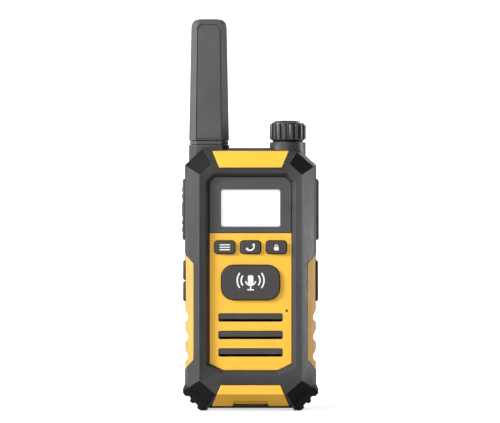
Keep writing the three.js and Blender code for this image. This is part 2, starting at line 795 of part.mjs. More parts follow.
// ---------------------------------------------------------------- side keys and port covers
function sideKey({ face, bottom, length, ribs }) {
  const crown = face + (ribs ? sideProud - 0.25 : sideProud);
  const edge = sideOutline(bottom, length, 0, 1.2);
  const top = sideOutline(bottom, length, -0.5, 0.9);
  const onSide = (outline, x) => outline.map(([y, z]) => [-x, y, z]);
  let key = loft([onSide(edge, wallX - 0.8), onSide(edge, crown - 0.6), onSide(top, crown)]);
  if (ribs) {
    const middle = bottom + length / 2;
    const pads = [[0, 6], [5.6, 1.6], [8.6, 1.6], [-5.6, 1.6], [-8.6, 1.6]];
    for (const [offset, height] of pads) {
      const pad = roundedRect([sideKeyY, middle + offset], [sideKeyWidth - 2, height], 0.6, 1);
      key = join(key, prism("x", pad, -crown - 0.25, -crown + 0.3));
    }
  }
  const lipSize = [sideKeyWidth + 1, ribs ? length + 1 : length];
  const lip = roundedRect([sideKeyY, bottom + length / 2], lipSize, 1, 1);
  return join(key, prism("x", lip, -wallX + seamGap, -wallX + sideKeyLip));
}

function portCover({ face, bottom, length }) {
  const crown = face + sideProud - (face === half ? 0.2 : 0);
  const edge = sideOutline(bottom, length, 0, 1.2);
  const top = sideOutline(bottom, length, -0.5, 0.9);
  const onSide = (outline, x) => outline.map(([y, z]) => [x, y, z]);
  const lid = loft([onSide(edge, face - coverThick), onSide(edge, crown - 0.6), onSide(top, crown)]);
  const barrel = bar("z", hingeRadius, [face, hingeLineY], bottom + 0.6, bottom + length - 0.6, 12);
  return join(lid, barrel);
}

function jackBlock() {
  const holes = jackHoles.map(({ radius, z }) => bar("x", radius, [sideKeyY, z], boardHalf - 6, half, 14));
  const low = [boardHalf - 6.5, boardY + boardThick + 0.1, upperBottomZ + 4];
  const high = [wallX - seamGap, sideKeyY + 3.2, upperTopZ - 5];
  return cut(block(low, high), ...holes);
}

function chargeSocket() {
  const shell = roundedRect([sideKeyY, chargePortZ], chargePort.map((s) => s + 0.6), 1.7, 3);
  const mouth = roundedRect([sideKeyY, chargePortZ], chargePort, 1.4, 3);
  const tongue = roundedRect([sideKeyY, chargePortZ], [0.7, 6.4], 0.2, 1);
  return join(
    cut(prism("x", shell, boardHalf - 4, wallX + 0.8), prism("x", mouth, boardHalf - 3, half)),
    prism("x", tongue, boardHalf - 3.5, wallX + 0.2),
  );
}

// ---------------------------------------------------------------- rear housing, gasket and door
function rearHousing() {
  const tray = block(
    [-traySide, trayY, bayBottomZ - 2],
    [traySide, rearStartY + 1, bayTopZ + trayWall],
  ).intersect(prism("y", eightSides(bodyOutline, shellWall + 2 * seamGap), frontY, backY));
  let shell = join(rearSkin(0), cut(tread(rearStartY, backY - 3.6), rearSkin(1)));
  const hollowTop = rearSkin(rearWall, partingY - 1).intersect(
    block([-half, frontY, bayTopZ + 4], [half, backY, topZ + 5]),
  );
  const sidePocket = block([bayHalf + 3.4, partingY - 1, bottomZ + 16], [wallX, backY - 5, bayTopZ + 2]);
  shell = cut(shell, hollowTop, sidePocket, mirrorX(sidePocket));
  shell = join(shell, tray);
  for (const place of bracketScrews) {
    shell = join(shell, bar("y", bossRadius, place, partingY + 2, backY - 1, 12));
  }
  const doorSide = doorHalf + keyGap;
  const hinge = [doorHingeY, doorHingeZ];
  shell = cut(
    shell,
    block([-bayHalf, bayY, bayBottomZ], [bayHalf, backY + 1, bayTopZ]),
    block([-doorSide, doorInnerY - seamGap, doorHingeZ], [doorSide, backY + 1, doorTopZ + keyGap]),
    block([-doorSide, doorHingeY, doorHingeZ - doorSwingRoom], [doorSide, backY + 1, doorHingeZ]),
    bar("x", doorSwingRoom, hinge, -doorSide, doorSide, 24),
    bar("x", doorPinRadius + 0.08, hinge, -doorPinReach - 0.2, doorPinReach + 0.2, 10),
    fingerNotch(0.3),
    ...scallops(partingY, backY + 1),
    ...bracketScrews.map((place) => bar("y", screwHole, place, partingY + 3, backY + 1, 10)),
  );
  for (const [x, z] of Object.values(caseScrews)) {
    if (z > bayTopZ) shell = join(shell, bar("y", bossRadius, [x, z], rearStartY, backY - 1, 12));
    shell = cut(
      shell,
      bar("y", screwHole, [x, z], partingY - 1, backY, 10),
      bar("y", headRadius + 0.25, [x, z], backY - headHeight - 0.5, backY + 1, 16),
    );
  }
  return shell;
}

function housingGasket() {
  const outer = prism("y", eightSides(bodyOutline, 0.35), frontEndY + 0.05, rearStartY - 0.05);
  const inner = prism("y", eightSides(bodyOutline, 1.9 + scallop.depth), frontEndY - 1, rearStartY + 1);
  return cut(outer, inner, ...scallops(frontEndY - 1, rearStartY + 1));
}

// the thumb's way in above the door's latch
const fingerNotch = (deeper) =>
  prism("y", roundedRect([0, doorTopZ], [11, 5], 2, 3), backY - 0.9 - deeper, backY + 1);

function batteryDoor() {
  const panel = block([-doorHalf, doorInnerY, doorHingeZ], [doorHalf, backY, doorTopZ]);
  const barrel = bar("x", doorBarrel, [doorHingeY, doorHingeZ], -doorHalf, doorHalf, 16);
  let door = cut(
    join(panel, barrel),
    bar("x", doorPinRadius + 0.12, [doorHingeY, doorHingeZ], -half, half, 10),
    fingerNotch(0),
  );
  for (let i = 0; i < 4; i++) {
    const z = doorTopZ - 5 - i * 1.8;
    const groove = roundedRect([0, z], [16 - i * 2.8, 0.8], 0.35, 1);
    door = cut(door, prism("y", groove, backY - 0.4, backY + 1));
  }
  return door;
}

const doorPinReach = doorHalf + 2.6;
const doorPin = () => bar("x", doorPinRadius, [doorHingeY, doorHingeZ], -doorPinReach, doorPinReach, 10);

const cellX = (i) => (i - (cellCount - 1) / 2) * cellPitch;
const cellFootZ = bayBottomZ + contactRoom + springRoom;

function cell(i) {
  const r = cellRadius;
  const up = [
    [0, 0],
    [r - 0.3, 0],
    [r, 0.3],
    [r, cellLength - 1.2],
    [r - 0.5, cellLength - 0.8],
    [1.9, cellLength - 0.8],
    [1.9, cellLength],
    [0, cellLength],
  ];
  const profile = i % 2 ? up.map(([radius, height]) => [radius, cellLength - height]).reverse() : up;
  return turned(profile, 20, "z", [cellX(i), cellY, cellFootZ]);
}

function contactStrip(z) {
  return block([-bayHalf + 0.3, cellY - 4.2, z], [bayHalf - 0.3, cellY + 4.2, z + 0.4]);
}

function cellSpring(i) {
  const helix = new Helix({
    foot: [cellX(i), cellY, bayBottomZ + 1.1],
    radii: [3.6, 2.2],
    height: springRoom - 0.85,
    turns: 3,
  });
  return wire(helix, 0.3, 30, 4);
}

// ---------------------------------------------------------------- board, speaker and microphone
function mainBoard() {
  const bottom = talkZ - talkSize[1] / 2;
  const board = block([-boardHalf, boardY, bottom], [boardHalf, boardY + boardThick, boardTopZ]);
  const tactSwitch = ({ at: [x, z], travel }) =>
    block([x - 2.2, stemEndY + travel + 0.1, z - 2.2], [x + 2.2, boardY + 0.3, z + 2.2]);
  const sideSwitch = ({ bottom: low, length }) => {
    const z = low + length / 2;
    const x = -wallX + sideKeyLip + sideTravel + 0.1;
    return block([x, boardY + boardThick - 0.2, z - 2], [-boardHalf + 2, sideKeyY + 1.6, z + 2]);
  };
  return join(board, ...frontKeys.map(tactSwitch), ...Object.values(sideKeys).map(sideSwitch));
}

function shieldCan() {
  return prism(
    "y",
    roundedRect([0, windowZ - 4.5], [24, 22], 1.5, 2),
    boardY + boardThick + 0.05,
    boardY + boardThick + 2.6,
  );
}

function speakerFrame() {
  const r = speakerRadius;
  const profile = [
    [r, 0],
    [r, 0.9],
    [r - 3.2, 3.0],
    [7.2, 3.2],
    [7.2, 5.4],
    [0, 5.4],
    [0, 3.9],
    [5.2, 3.9],
    [5.2, 2.2],
    [r - 2.4, 1.3],
    [r - 1.8, 0],
  ];
  return turned([...profile, profile[0]], 28, "y", [0, cavityY + 0.2, speakerZ]);
}

function speakerCone() {
  const r = speakerRadius - 2.2;
  const profile = [
    [r, 0.15],
    [r, 0.35],
    [r - 1.6, 0.75],
    [4.4, 1.75],
    [4.4, 3.2],
    [3.9, 3.2],
    [3.9, 1.3],
    [0, 0.7],
    [0, 0.4],
    [4.0, 0.95],
    [r - 1.8, 0.45],
  ];
  return turned([...profile, profile[0]], 24, "y", [0, cavityY + 0.2, speakerZ]);
}

const microphone = () => bar("y", 3, microphonePlace(), cavityY + 0.15, cavityY + 2.85, 16);

// ---------------------------------------------------------------- volume control
function volumeKnob() {
  const r = knobRadius;
  const body = turned(
    [
      [0, knobHeight],
      [3.6, knobHeight - 0.12],
      [r - 1.5, knobHeight - 0.55],
      [r, knobHeight - 1.9],
      [r, 0],
      [0, 0],
    ],
    2 * knobRibs,
    "z",
    [knobX, knobY, knobBottomZ],
  );
  let knob = body;
  for (let i = 0; i < knobRibs; i++) {
    const turn = ((i + 0.5) * 2 * Math.PI) / knobRibs;
    const at = [knobX + (r + 0.1) * Math.cos(turn), knobY + (r + 0.1) * Math.sin(turn)];
    knob = cut(knob, bar("z", 0.65, at, knobBottomZ - 1, knobBottomZ + knobHeight + 1, 6));
  }
  const bore = bar("z", shaftRadius + 0.1, [knobX, knobY], knobBottomZ - 1, knobBottomZ + 5.6, 16);
  const pointer = block(
    [knobX - 0.4, knobY - r + 1.3, knobBottomZ + knobHeight - 0.75],
    [knobX + 0.4, knobY - 3.2, knobBottomZ + knobHeight + 1],
  );
  return cut(knob, bore, pointer);
}

const volumeShaft = () =>
  bar("z", shaftRadius, [knobX, knobY], boardTopZ + potSize[1] + 0.3, knobBottomZ + 5.4, 16);

function volumePot() {
  const reach = potSize[0] / 2;
  const from = boardTopZ + 0.1;
  return block([knobX - reach, knobY - reach, from], [knobX + reach, knobY + reach, from + potSize[1]]);
}

function knobSeal() {
  const ring = bar("z", knobRadius - 1.3, [knobX, knobY], collarTopZ + 0.02, collarTopZ + sealHeight, 32);
  return cut(ring, bar("z", shaftRadius + 0.3, [knobX, knobY], collarTopZ - 1, collarTopZ + 2, 16));
}

// ---------------------------------------------------------------- aerial
const studRadius = 2.5;
const coilRadius = 2.6;

function aerialSection(width, depth, z) {
  const outline = cutRect([aerialX, aerialY], [width, depth], [width * 0.17, depth * 0.27]);
  return outline.map(([x, y]) => [x, y, z]);
}

function aerialSleeve() {
  const { width, depth, tipWidth, tipDepth, length } = aerialSize;
  const tipZ = aerialBottomZ + length;
  const tip = [0, 1, 2, 3].map((step) => {
    const turn = (step * Math.PI) / 6;
    const inset = 2 * (1 - Math.cos(turn));
    return aerialSection(
      tipWidth - aerialTip.acrossIn * inset,
      tipDepth - aerialTip.depthIn * inset,
      tipZ - aerialTip.length * (1 - Math.sin(turn)),
    );
  });
  const sleeve = loft([
    aerialSection(width - 0.7, depth - 0.7, aerialBottomZ),
    aerialSection(width, depth, aerialBottomZ + 0.45),
    ...tip,
  ]);
  return cut(sleeve, bar("z", coilRadius + 1, [aerialX, aerialY], aerialBottomZ - 1, tipZ - 7, 14));
}

function aerialCollar() {
  const { width, depth } = aerialSize;
  const from = aerialBaseTopZ + seamGap;
  return cut(
    loft([0, aerialCollarHeight].map((rise) => aerialSection(width - 0.7, depth - 0.6, from + rise))),
    bar("z", studRadius + 0.2, [aerialX, aerialY], topZ, aerialBottomZ + 1, 12),
  );
}

const aerialStud = () => bar("z", studRadius, [aerialX, aerialY], topZ - 10, aerialBottomZ + 3.5, 12);

function aerialCoil() {
  const helix = new Helix({
    foot: [aerialX, aerialY, aerialBottomZ + 4.1],
    radii: [coilRadius, coilRadius],
    height: aerialSize.length - 14,
    turns: 7,
  });
  return wire(helix, 0.4, 70, 4);
}

// ---------------------------------------------------------------- belt clip
const bracketScrewZ = pinZ - 8;
const bracketScrews = [-1, 1].map((side) => [side * bracketScrewX, bracketScrewZ]);
const lugX = [5.4, 7.5];
const earX = [7.9, 10];

function clipBracket() {
  const [width, height, thick] = bracketSize;
  const plate = prism(
    "y",
    roundedRect([0, bracketTopZ - height / 2], [width, height], 2, 2),
    backY + 0.05,
    backY + 0.05 + thick,
  );
  const ear = join(
    bar("x", clipKnuckle, [pinY, pinZ], earX[0], earX[1], 16),
    block([earX[0], backY + thick - 0.4, pinZ - clipKnuckle], [earX[1], pinY, pinZ + clipKnuckle]),
  );
  const bore = bar("x", clipPinRadius + 0.08, [pinY, pinZ], -half, half, 12);
  const screws = bracketScrews.map((place) =>
    join(
      bar("y", screwHole, place, backY - 1, backY + 5, 10),
      bar("y", headRadius + 0.25, place, backY + thick - headHeight - 0.2, backY + 5, 16),
    ),
  );
  return cut(join(plate, ear, mirrorX(ear)), bore, ...screws);
}

function beltClip() {
  const top = pinZ + clipTab;
  const low = top - clipLength;
  // the middle line of the sheet, as [y, z] from its upper end to the lip at its foot
  const line = [
    [clipInnerY + clipFlare, top],
    [clipInnerY + 1.1, top - 5],
    [clipInnerY + 1.0, pinZ],
    [clipInnerY + 0.9, low + 15],
    [clipInnerY - 0.6, low + 9],
    [backY + 1.9, low + 3.4],
    [backY + 3.2, low + 0.4],
  ];
  const sides = [1, -1].map((side) =>
    line.map(([y, z], i) => {
      const [fromY, fromZ] = line[Math.max(i - 1, 0)];
      const [toY, toZ] = line[Math.min(i + 1, line.length - 1)];
      const shift = (side * clipThick) / 2 / Math.hypot(toY - fromY, toZ - fromZ);
      return [y - shift * (toZ - fromZ), z + shift * (toY - fromY)];
    }),
  );
  const sheet = prism("x", [...sides[0], ...sides[1].reverse()], -clipWidth / 2, clipWidth / 2);
  const outline = [
    [-clipWidth / 2 + 2.5, top + 1],
    [-clipWidth / 2, top - 2.5],
    [-clipWidth / 2, pinZ - 8],
    [-clipWidth / 2 + 2, low + 6],
    [-clipWidth / 2 + 4.5, low - 1],
  ];
  const otherSide = outline.map(([x, z]) => [-x, z]).reverse();
  const face = prism("y", [...outline, ...otherSide], backY, clipOuterY + 3);
  const lug = join(
    bar("x", clipKnuckle, [pinY, pinZ], lugX[0], lugX[1], 16),
    block([lugX[0], pinY, pinZ - clipKnuckle], [lugX[1], clipInnerY + 0.6, pinZ + clipKnuckle]),
  );
  const bore = bar("x", clipPinRadius + 0.08, [pinY, pinZ], -half, half, 12);
  return cut(join(sheet.intersect(face), lug, mirrorX(lug)), bore);
}

const clipPin = () => bar("x", clipPinRadius, [pinY, pinZ], -earX[1] - 0.3, earX[1] + 0.3, 12);

function clipSpring() {
  const points = [];
  const turns = 4;
  const steps = 8 * turns;
  const coil = clipPinRadius + 0.55;
  points.push(new THREE.Vector3(-4.2, backY + bracketSize[2] + 0.6, pinZ - 6));
  for (let i = 0; i <= steps; i++) {
    const turn = Math.PI + (i * turns * 2 * Math.PI) / steps;
    points.push(
      new THREE.Vector3(-4 + (8 * i) / steps, pinY + coil * Math.cos(turn), pinZ + coil * Math.sin(turn)),
    );
  }
  points.push(new THREE.Vector3(4.2, clipInnerY - 0.4, pinZ + 6.5));
  return wire(new THREE.CatmullRomCurve3(points, false, "chordal"), 0.3, 50, 5);
}

// ---------------------------------------------------------------- screws
function screw([x, z], headY, length) {
  const profile = [
    [0, 0],
    [headRadius * 0.8, 0],
    [headRadius, 0.35],
    [headRadius, headHeight],
    [screwRadius, headHeight],
    [screwRadius, length - 1],
    [0.2, length],
    [0, length],
  ];
  const lathe = turned(profile.map(([r, h]) => [r, -h]), 14, "y", [x, headY, z]);
  const slot = (across, up) => block([x - across, headY - 0.6, z - up], [x + across, headY + 1, z + up]);
  return cut(lathe, slot(1.1, 0.22), slot(0.22, 1.1));
}

// ---------------------------------------------------------------- assembly
const finishes = {
  armour: { color: 0x5a5a5b, roughness: 0.55, metalness: 0 },
  guard: { color: 0x232324, roughness: 0.75, metalness: 0 },
  yellow: { color: 0xf9c645, roughness: 0.45, metalness: 0 },
  key: { color: 0x4f4d4b, roughness: 0.6, metalness: 0 },
  rubber: { color: 0x3c3c3d, roughness: 0.8, metalness: 0 },
  clear: { color: 0xf4f6f4, roughness: 0.08, metalness: 0, transparent: true, opacity: 0.35 },
  display: { color: 0xfafaf5, roughness: 0.3, metalness: 0 },
  board: { color: 0x1f5a37, roughness: 0.5, metalness: 0 },
  steel: { color: 0xb8babd, roughness: 0.3, metalness: 1 },
  brass: { color: 0xc9a24a, roughness: 0.35, metalness: 1 },
  cone: { color: 0x2b2a29, roughness: 0.9, metalness: 0 },
  cell: { color: 0x33566e, roughness: 0.4, metalness: 0.2 },
};
const materials = Object.fromEntries(
  Object.entries(finishes).map(([name, finish]) => [name, new THREE.MeshStandardMaterial(finish)]),
);

const radio = new THREE.Group();
const lowestY = frontY - capLift;
const highestY = clipInnerY + clipFlare + clipThick / 2;
radio.position.y = -(lowestY + highestY) / 2; // the origin lies under the middle of the whole

function add(name, finish, solid) {
  const mesh = new THREE.Mesh(geometryOf(solid), materials[finish]);
  mesh.name = name;
  radio.add(mesh);
}

add("front_housing", "armour", frontHousing());
add("rear_housing", "armour", rearHousing());
add("housing_gasket", "rubber", housingGasket());
add("top_bumper", "yellow", cap(topCap, "top"));
add("bottom_bumper", "yellow", lowerCap());
for (const corner of Object.keys(facets)) add("corner_guard_" + corner, "guard", cornerGuard(corner));
add("left_grip", "yellow", gripWithOpenings("left"));
add("right_grip", "yellow", gripWithOpenings("right"));
add("face_plate", "yellow", facePlate());
add("display_bezel", "armour", displayBezel());
add("display_window", "clear", displayWindow());
add("lcd_module", "display", lcdModule());
for (const key of frontKeys) add(key.name, "key", frontKey(key));
add("speaker_grille", "key", speakerGrille());
add("speaker_frame", "steel", speakerFrame());
add("speaker_cone", "cone", speakerCone());
add("microphone", "steel", microphone());
add("main_board", "board", mainBoard());
add("shield_can", "steel", shieldCan());
for (const [name, key] of Object.entries(sideKeys)) add(name, "rubber", sideKey(key));
for (const [name, cover] of Object.entries(portCovers)) add(name, "rubber", portCover(cover));
add("jack_block", "key", jackBlock());
add("charge_socket", "steel", chargeSocket());
add("volume_knob", "rubber", volumeKnob());
add("volume_shaft", "steel", volumeShaft());
add("volume_control", "steel", volumePot());
add("knob_seal", "guard", knobSeal());
add("aerial_sleeve", "rubber", aerialSleeve());
add("aerial_collar", "armour", aerialCollar());
add("aerial_stud", "brass", aerialStud());
add("aerial_coil", "brass", aerialCoil());
add("battery_door", "armour", batteryDoor());
add("door_pin", "steel", doorPin());
for (let i = 0; i < cellCount; i++) add("cell_" + (i + 1), "cell", cell(i));
for (let i = 0; i < cellCount; i++) add("cell_spring_" + (i + 1), "steel", cellSpring(i));
add("lower_contact", "steel", contactStrip(bayBottomZ + 0.2));
add("upper_contact", "steel", contactStrip(bayTopZ - 0.6));
add("clip_bracket", "armour", clipBracket());
add("belt_clip", "rubber", beltClip());
add("clip_pin", "steel", clipPin());
add("clip_spring", "steel", clipSpring());
for (const [name, place] of Object.entries(caseScrews)) add(name, "steel", screw(place, backY - 0.3, 15));
for (const [i, name] of ["bracket_screw_left", "bracket_screw_right"].entries()) {
  add(name, "steel", screw(bracketScrews[i], backY + bracketSize[2] - 0.1, 6.5));
}

export default radio;
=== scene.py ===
import json
import math

import bmesh
import bpy
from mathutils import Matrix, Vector


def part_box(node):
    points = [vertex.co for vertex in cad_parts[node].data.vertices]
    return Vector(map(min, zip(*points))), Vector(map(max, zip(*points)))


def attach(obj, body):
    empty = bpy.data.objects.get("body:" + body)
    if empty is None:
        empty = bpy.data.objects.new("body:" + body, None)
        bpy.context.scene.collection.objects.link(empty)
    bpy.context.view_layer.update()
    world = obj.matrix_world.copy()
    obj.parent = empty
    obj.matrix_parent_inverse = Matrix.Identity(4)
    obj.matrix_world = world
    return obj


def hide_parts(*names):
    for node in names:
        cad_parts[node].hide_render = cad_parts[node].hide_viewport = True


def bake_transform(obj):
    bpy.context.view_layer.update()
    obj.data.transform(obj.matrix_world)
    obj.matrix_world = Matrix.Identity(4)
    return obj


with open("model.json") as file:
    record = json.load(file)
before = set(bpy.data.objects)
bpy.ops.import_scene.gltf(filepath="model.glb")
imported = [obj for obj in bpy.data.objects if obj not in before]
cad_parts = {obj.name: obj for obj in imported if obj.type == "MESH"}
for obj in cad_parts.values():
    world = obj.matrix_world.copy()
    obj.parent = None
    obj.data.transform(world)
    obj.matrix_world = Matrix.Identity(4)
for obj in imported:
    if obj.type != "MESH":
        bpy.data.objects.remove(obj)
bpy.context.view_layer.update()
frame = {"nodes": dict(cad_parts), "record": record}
mm = 0.001
scene = bpy.context.scene
scene.view_settings.view_transform = "Standard"


def middle(node):
    low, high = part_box(node)
    return (low + high) / 2


# camera and studio
view = {
    "distance": 1.6,
    "fieldWidth": 0.215,  # what the picture's width takes in, at the radio
    "aimX": -0.26 * mm,
    "aimZ": 84.8 * mm,
    "sensor": 36,
    "reach": 20,
}


def makeCamera():
    data = bpy.data.cameras.new("camera")
    data.sensor_width = view["sensor"]
    data.lens = view["sensor"] * view["distance"] / view["fieldWidth"]
    data.clip_end = view["reach"]
    camera = bpy.data.objects.new("camera", data)
    scene.collection.objects.link(camera)
    camera.location = (view["aimX"], -view["distance"], view["aimZ"])
    camera.rotation_euler = (math.radians(90), 0, 0)
    scene.camera = camera


makeCamera()

studio = {
    "paper": (0.36, 0.36, 0.36),
    "worldStrength": 0.04,
    "floorFront": -2.5,
    "sweepBack": 2.2,
    "sweepRadius": 0.8,
    "sweepSteps": 12,
    "wallTop": 3.0,
    "halfWidth": 3.0,
    "glow": 0.5,  # the paper's own light behind the radio, full from the second of these distances on
    "glowAlong": (0.05, 0.3),
    "whitening": 0.66,  # light that only the picture sees, so that pale paper doesn't fill the shadows
    "whiteAlong": (0.1, 0.7),  # it grows to plain white between these distances from the radio
    "lampAim": (0, 0, 0.08),
}
lights = {
    "key": {"place": (-1.2, -0.5, 0.68), "size": (0.4, 0.4), "watts": 31},
    "front": {"place": (-0.6, -1.9, 0.95), "size": (0.7, 0.7), "watts": 23},
    "leftStrip": {"place": (-1.0, 0.12, 0.15), "size": (0.16, 0.6), "watts": 1.2},
    "rightStrip": {"place": (1.0, 0.2, 0.15), "size": (0.16, 0.7), "watts": 9},
    "back": {"place": (0.7, 1.7, 0.9), "size": (0.8, 0.8), "watts": 26},
}


def fadeNode(nodes, along, low, high):
    fade = nodes.new("ShaderNodeMapRange")
    fade.interpolation_type = "SMOOTHSTEP"
    for socket, value in zip(("From Min", "From Max", "To Min", "To Max"), (*along, low, high)):
        fade.inputs[socket].default_value = value
    return fade


def makePaper():
    paper = bpy.data.materials.new("backdropPaper")
    paper.use_nodes = True
    nodes, links = paper.node_tree.nodes, paper.node_tree.links
    shader = nodes["Principled BSDF"]
    shader.inputs["Base Color"].default_value = (*studio["paper"], 1)
    shader.inputs["Roughness"].default_value = 0.9
    shader.inputs["Emission Color"].default_value = (1, 1, 1, 1)
    place = nodes.new("ShaderNodeTexCoord")
    split = nodes.new("ShaderNodeSeparateXYZ")
    links.new(place.outputs["Object"], split.inputs["Vector"])
    glow = fadeNode(nodes, studio["glowAlong"], 0.0, studio["glow"])
    links.new(split.outputs["Y"], glow.inputs["Value"])
    away = nodes.new("ShaderNodeVectorMath")
    away.operation = "LENGTH"
    links.new(place.outputs["Object"], away.inputs[0])
    pale = fadeNode(nodes, studio["whiteAlong"], studio["whitening"], 1.0)
    links.new(away.outputs["Value"], pale.inputs["Value"])
    path = nodes.new("ShaderNodeLightPath")
    whiter = nodes.new("ShaderNodeMath")
    whiter.operation = "MULTIPLY_ADD"
    links.new(path.outputs["Is Camera Ray"], whiter.inputs[0])
    links.new(pale.outputs["Result"], whiter.inputs[1])
    links.new(glow.outputs["Result"], whiter.inputs[2])
    links.new(whiter.outputs["Value"], shader.inputs["Emission Strength"])
    return paper


def makeBackdrop():
    profile = [(studio["floorFront"], 0.0), (studio["sweepBack"], 0.0)]
    radius, steps = studio["sweepRadius"], studio["sweepSteps"]
    for i in range(1, steps + 1):  # the floor curves up into the backdrop
        turn = math.radians(90 * i / steps)
        profile.append((studio["sweepBack"] + radius * math.sin(turn), radius * (1 - math.cos(turn))))
    profile.append((studio["sweepBack"] + radius, studio["wallTop"]))
    wide = studio["halfWidth"]
    points = [(x, y, z) for y, z in profile for x in (-wide, wide)]
    faces = [(2 * i, 2 * i + 1, 2 * i + 3, 2 * i + 2) for i in range(len(profile) - 1)]
    mesh = bpy.data.meshes.new("backdrop")
    mesh.from_pydata(points, [], faces)
    mesh.polygons.foreach_set("use_smooth", [True] * len(faces))
    mesh.materials.append(makePaper())
    backdrop = bpy.data.objects.new("backdrop", mesh)
    scene.collection.objects.link(backdrop)


def makeLights():
    world = bpy.data.worlds.new("studioAir")
    world.use_nodes = True
    world.node_tree.nodes["Background"].inputs["Color"].default_value = (1, 1, 1, 1)
    nodes, links = world.node_tree.nodes, world.node_tree.links
    path = nodes.new("ShaderNodeLightPath")
    strength = nodes.new("ShaderNodeMapRange")
    strength.inputs["To Min"].default_value = studio["worldStrength"]
    strength.inputs["To Max"].default_value = 1.0
    links.new(path.outputs["Is Camera Ray"], strength.inputs["Value"])
    links.new(strength.outputs["Result"], nodes["Background"].inputs["Strength"])
    scene.world = world
    for name, setting in lights.items():
        data = bpy.data.lights.new(name, "AREA")
        data.shape = "RECTANGLE"
        data.size, data.size_y = setting["size"]
        data.energy = setting["watts"]
        lamp = bpy.data.objects.new(name, data)
        lamp.location = setting["place"]
        lamp.rotation_euler = (Vector(studio["lampAim"]) - lamp.location).to_track_quat("-Z", "Y").to_euler()
        scene.collection.objects.link(lamp)


makeBackdrop()
makeLights()
print("studio ready")


# finishes
def newFinish(name, color, roughness, metallic=0.0):
    material = bpy.data.materials.new(name)
    material.use_nodes = True
    shader = material.node_tree.nodes["Principled BSDF"]
    shader.inputs["Base Color"].default_value = (*color, 1)
    shader.inputs["Roughness"].default_value = roughness
    shader.inputs["Metallic"].default_value = metallic
    return material, shader


def addNode(material, kind, **settings):
    node = material.node_tree.nodes.new(kind)
    for name, value in settings.items():
        setattr(node, name, value)
    return node


def plug(material, start, end):
    material.node_tree.links.new(start, end)


def speckle(material, size, detail=2.0, stretch=(1, 1, 1)):
    place = addNode(material, "ShaderNodeTexCoord")
    turn = addNode(material, "ShaderNodeMapping")
    turn.inputs["Scale"].default_value = stretch
    noise = addNode(material, "ShaderNodeTexNoise")
    noise.inputs["Scale"].default_value = 1 / size
    noise.inputs["Detail"].default_value = detail
    plug(material, place.outputs["Object"], turn.inputs["Vector"])
    plug(material, turn.outputs["Vector"], noise.inputs["Vector"])
    return noise.outputs["Fac"]


def remap(material, value, low, high, fromLow=0.3, fromHigh=0.7):
    node = addNode(material, "ShaderNodeMapRange")
    for name, number in zip(("From Min", "From Max", "To Min", "To Max"), (fromLow, fromHigh, low, high)):
        node.inputs[name].default_value = number
    plug(material, value, node.inputs["Value"])
    return node.outputs["Result"]


def blendColors(material, share, first, second):
    node = addNode(material, "ShaderNodeMix", data_type="RGBA")
    plug(material, share, node.inputs["Factor"])
    for socket, color in ((node.inputs["A"], first), (node.inputs["B"], second)):
        if isinstance(color, tuple):
            socket.default_value = (*color, 1)
        else:
            plug(material, color, socket)
    return node.outputs["Result"]


def edgeShare(material, radius, strength):
    bevel = addNode(material, "ShaderNodeBevel", samples=4)
    bevel.inputs["Radius"].default_value = radius
    plain = addNode(material, "ShaderNodeNewGeometry")
    match = addNode(material, "ShaderNodeVectorMath", operation="DOT_PRODUCT")
    plug(material, bevel.outputs["Normal"], match.inputs[0])
    plug(material, plain.outputs["Normal"], match.inputs[1])
    return remap(material, match.outputs["Value"], strength, 0.0, 0.8, 0.99)


def bump(material, shader, value, depth):
    node = addNode(material, "ShaderNodeBump")
    node.inputs["Strength"].default_value = 1.0
    node.inputs["Distance"].default_value = depth
    plug(material, value, node.inputs["Height"])
    plug(material, node.outputs["Normal"], shader.inputs["Normal"])


def paintedShadeShare(material, reach, strength):  # painted shade: how far a spot lies down in a seam or a recess, which sets how dark its colour is painted there
    shade = addNode(material, "ShaderNodeAmbientOcclusion", samples=6)
    shade.inputs["Distance"].default_value = reach
    return remap(material, shade.outputs["AO"], strength, 0.0, 0.3, 0.92)
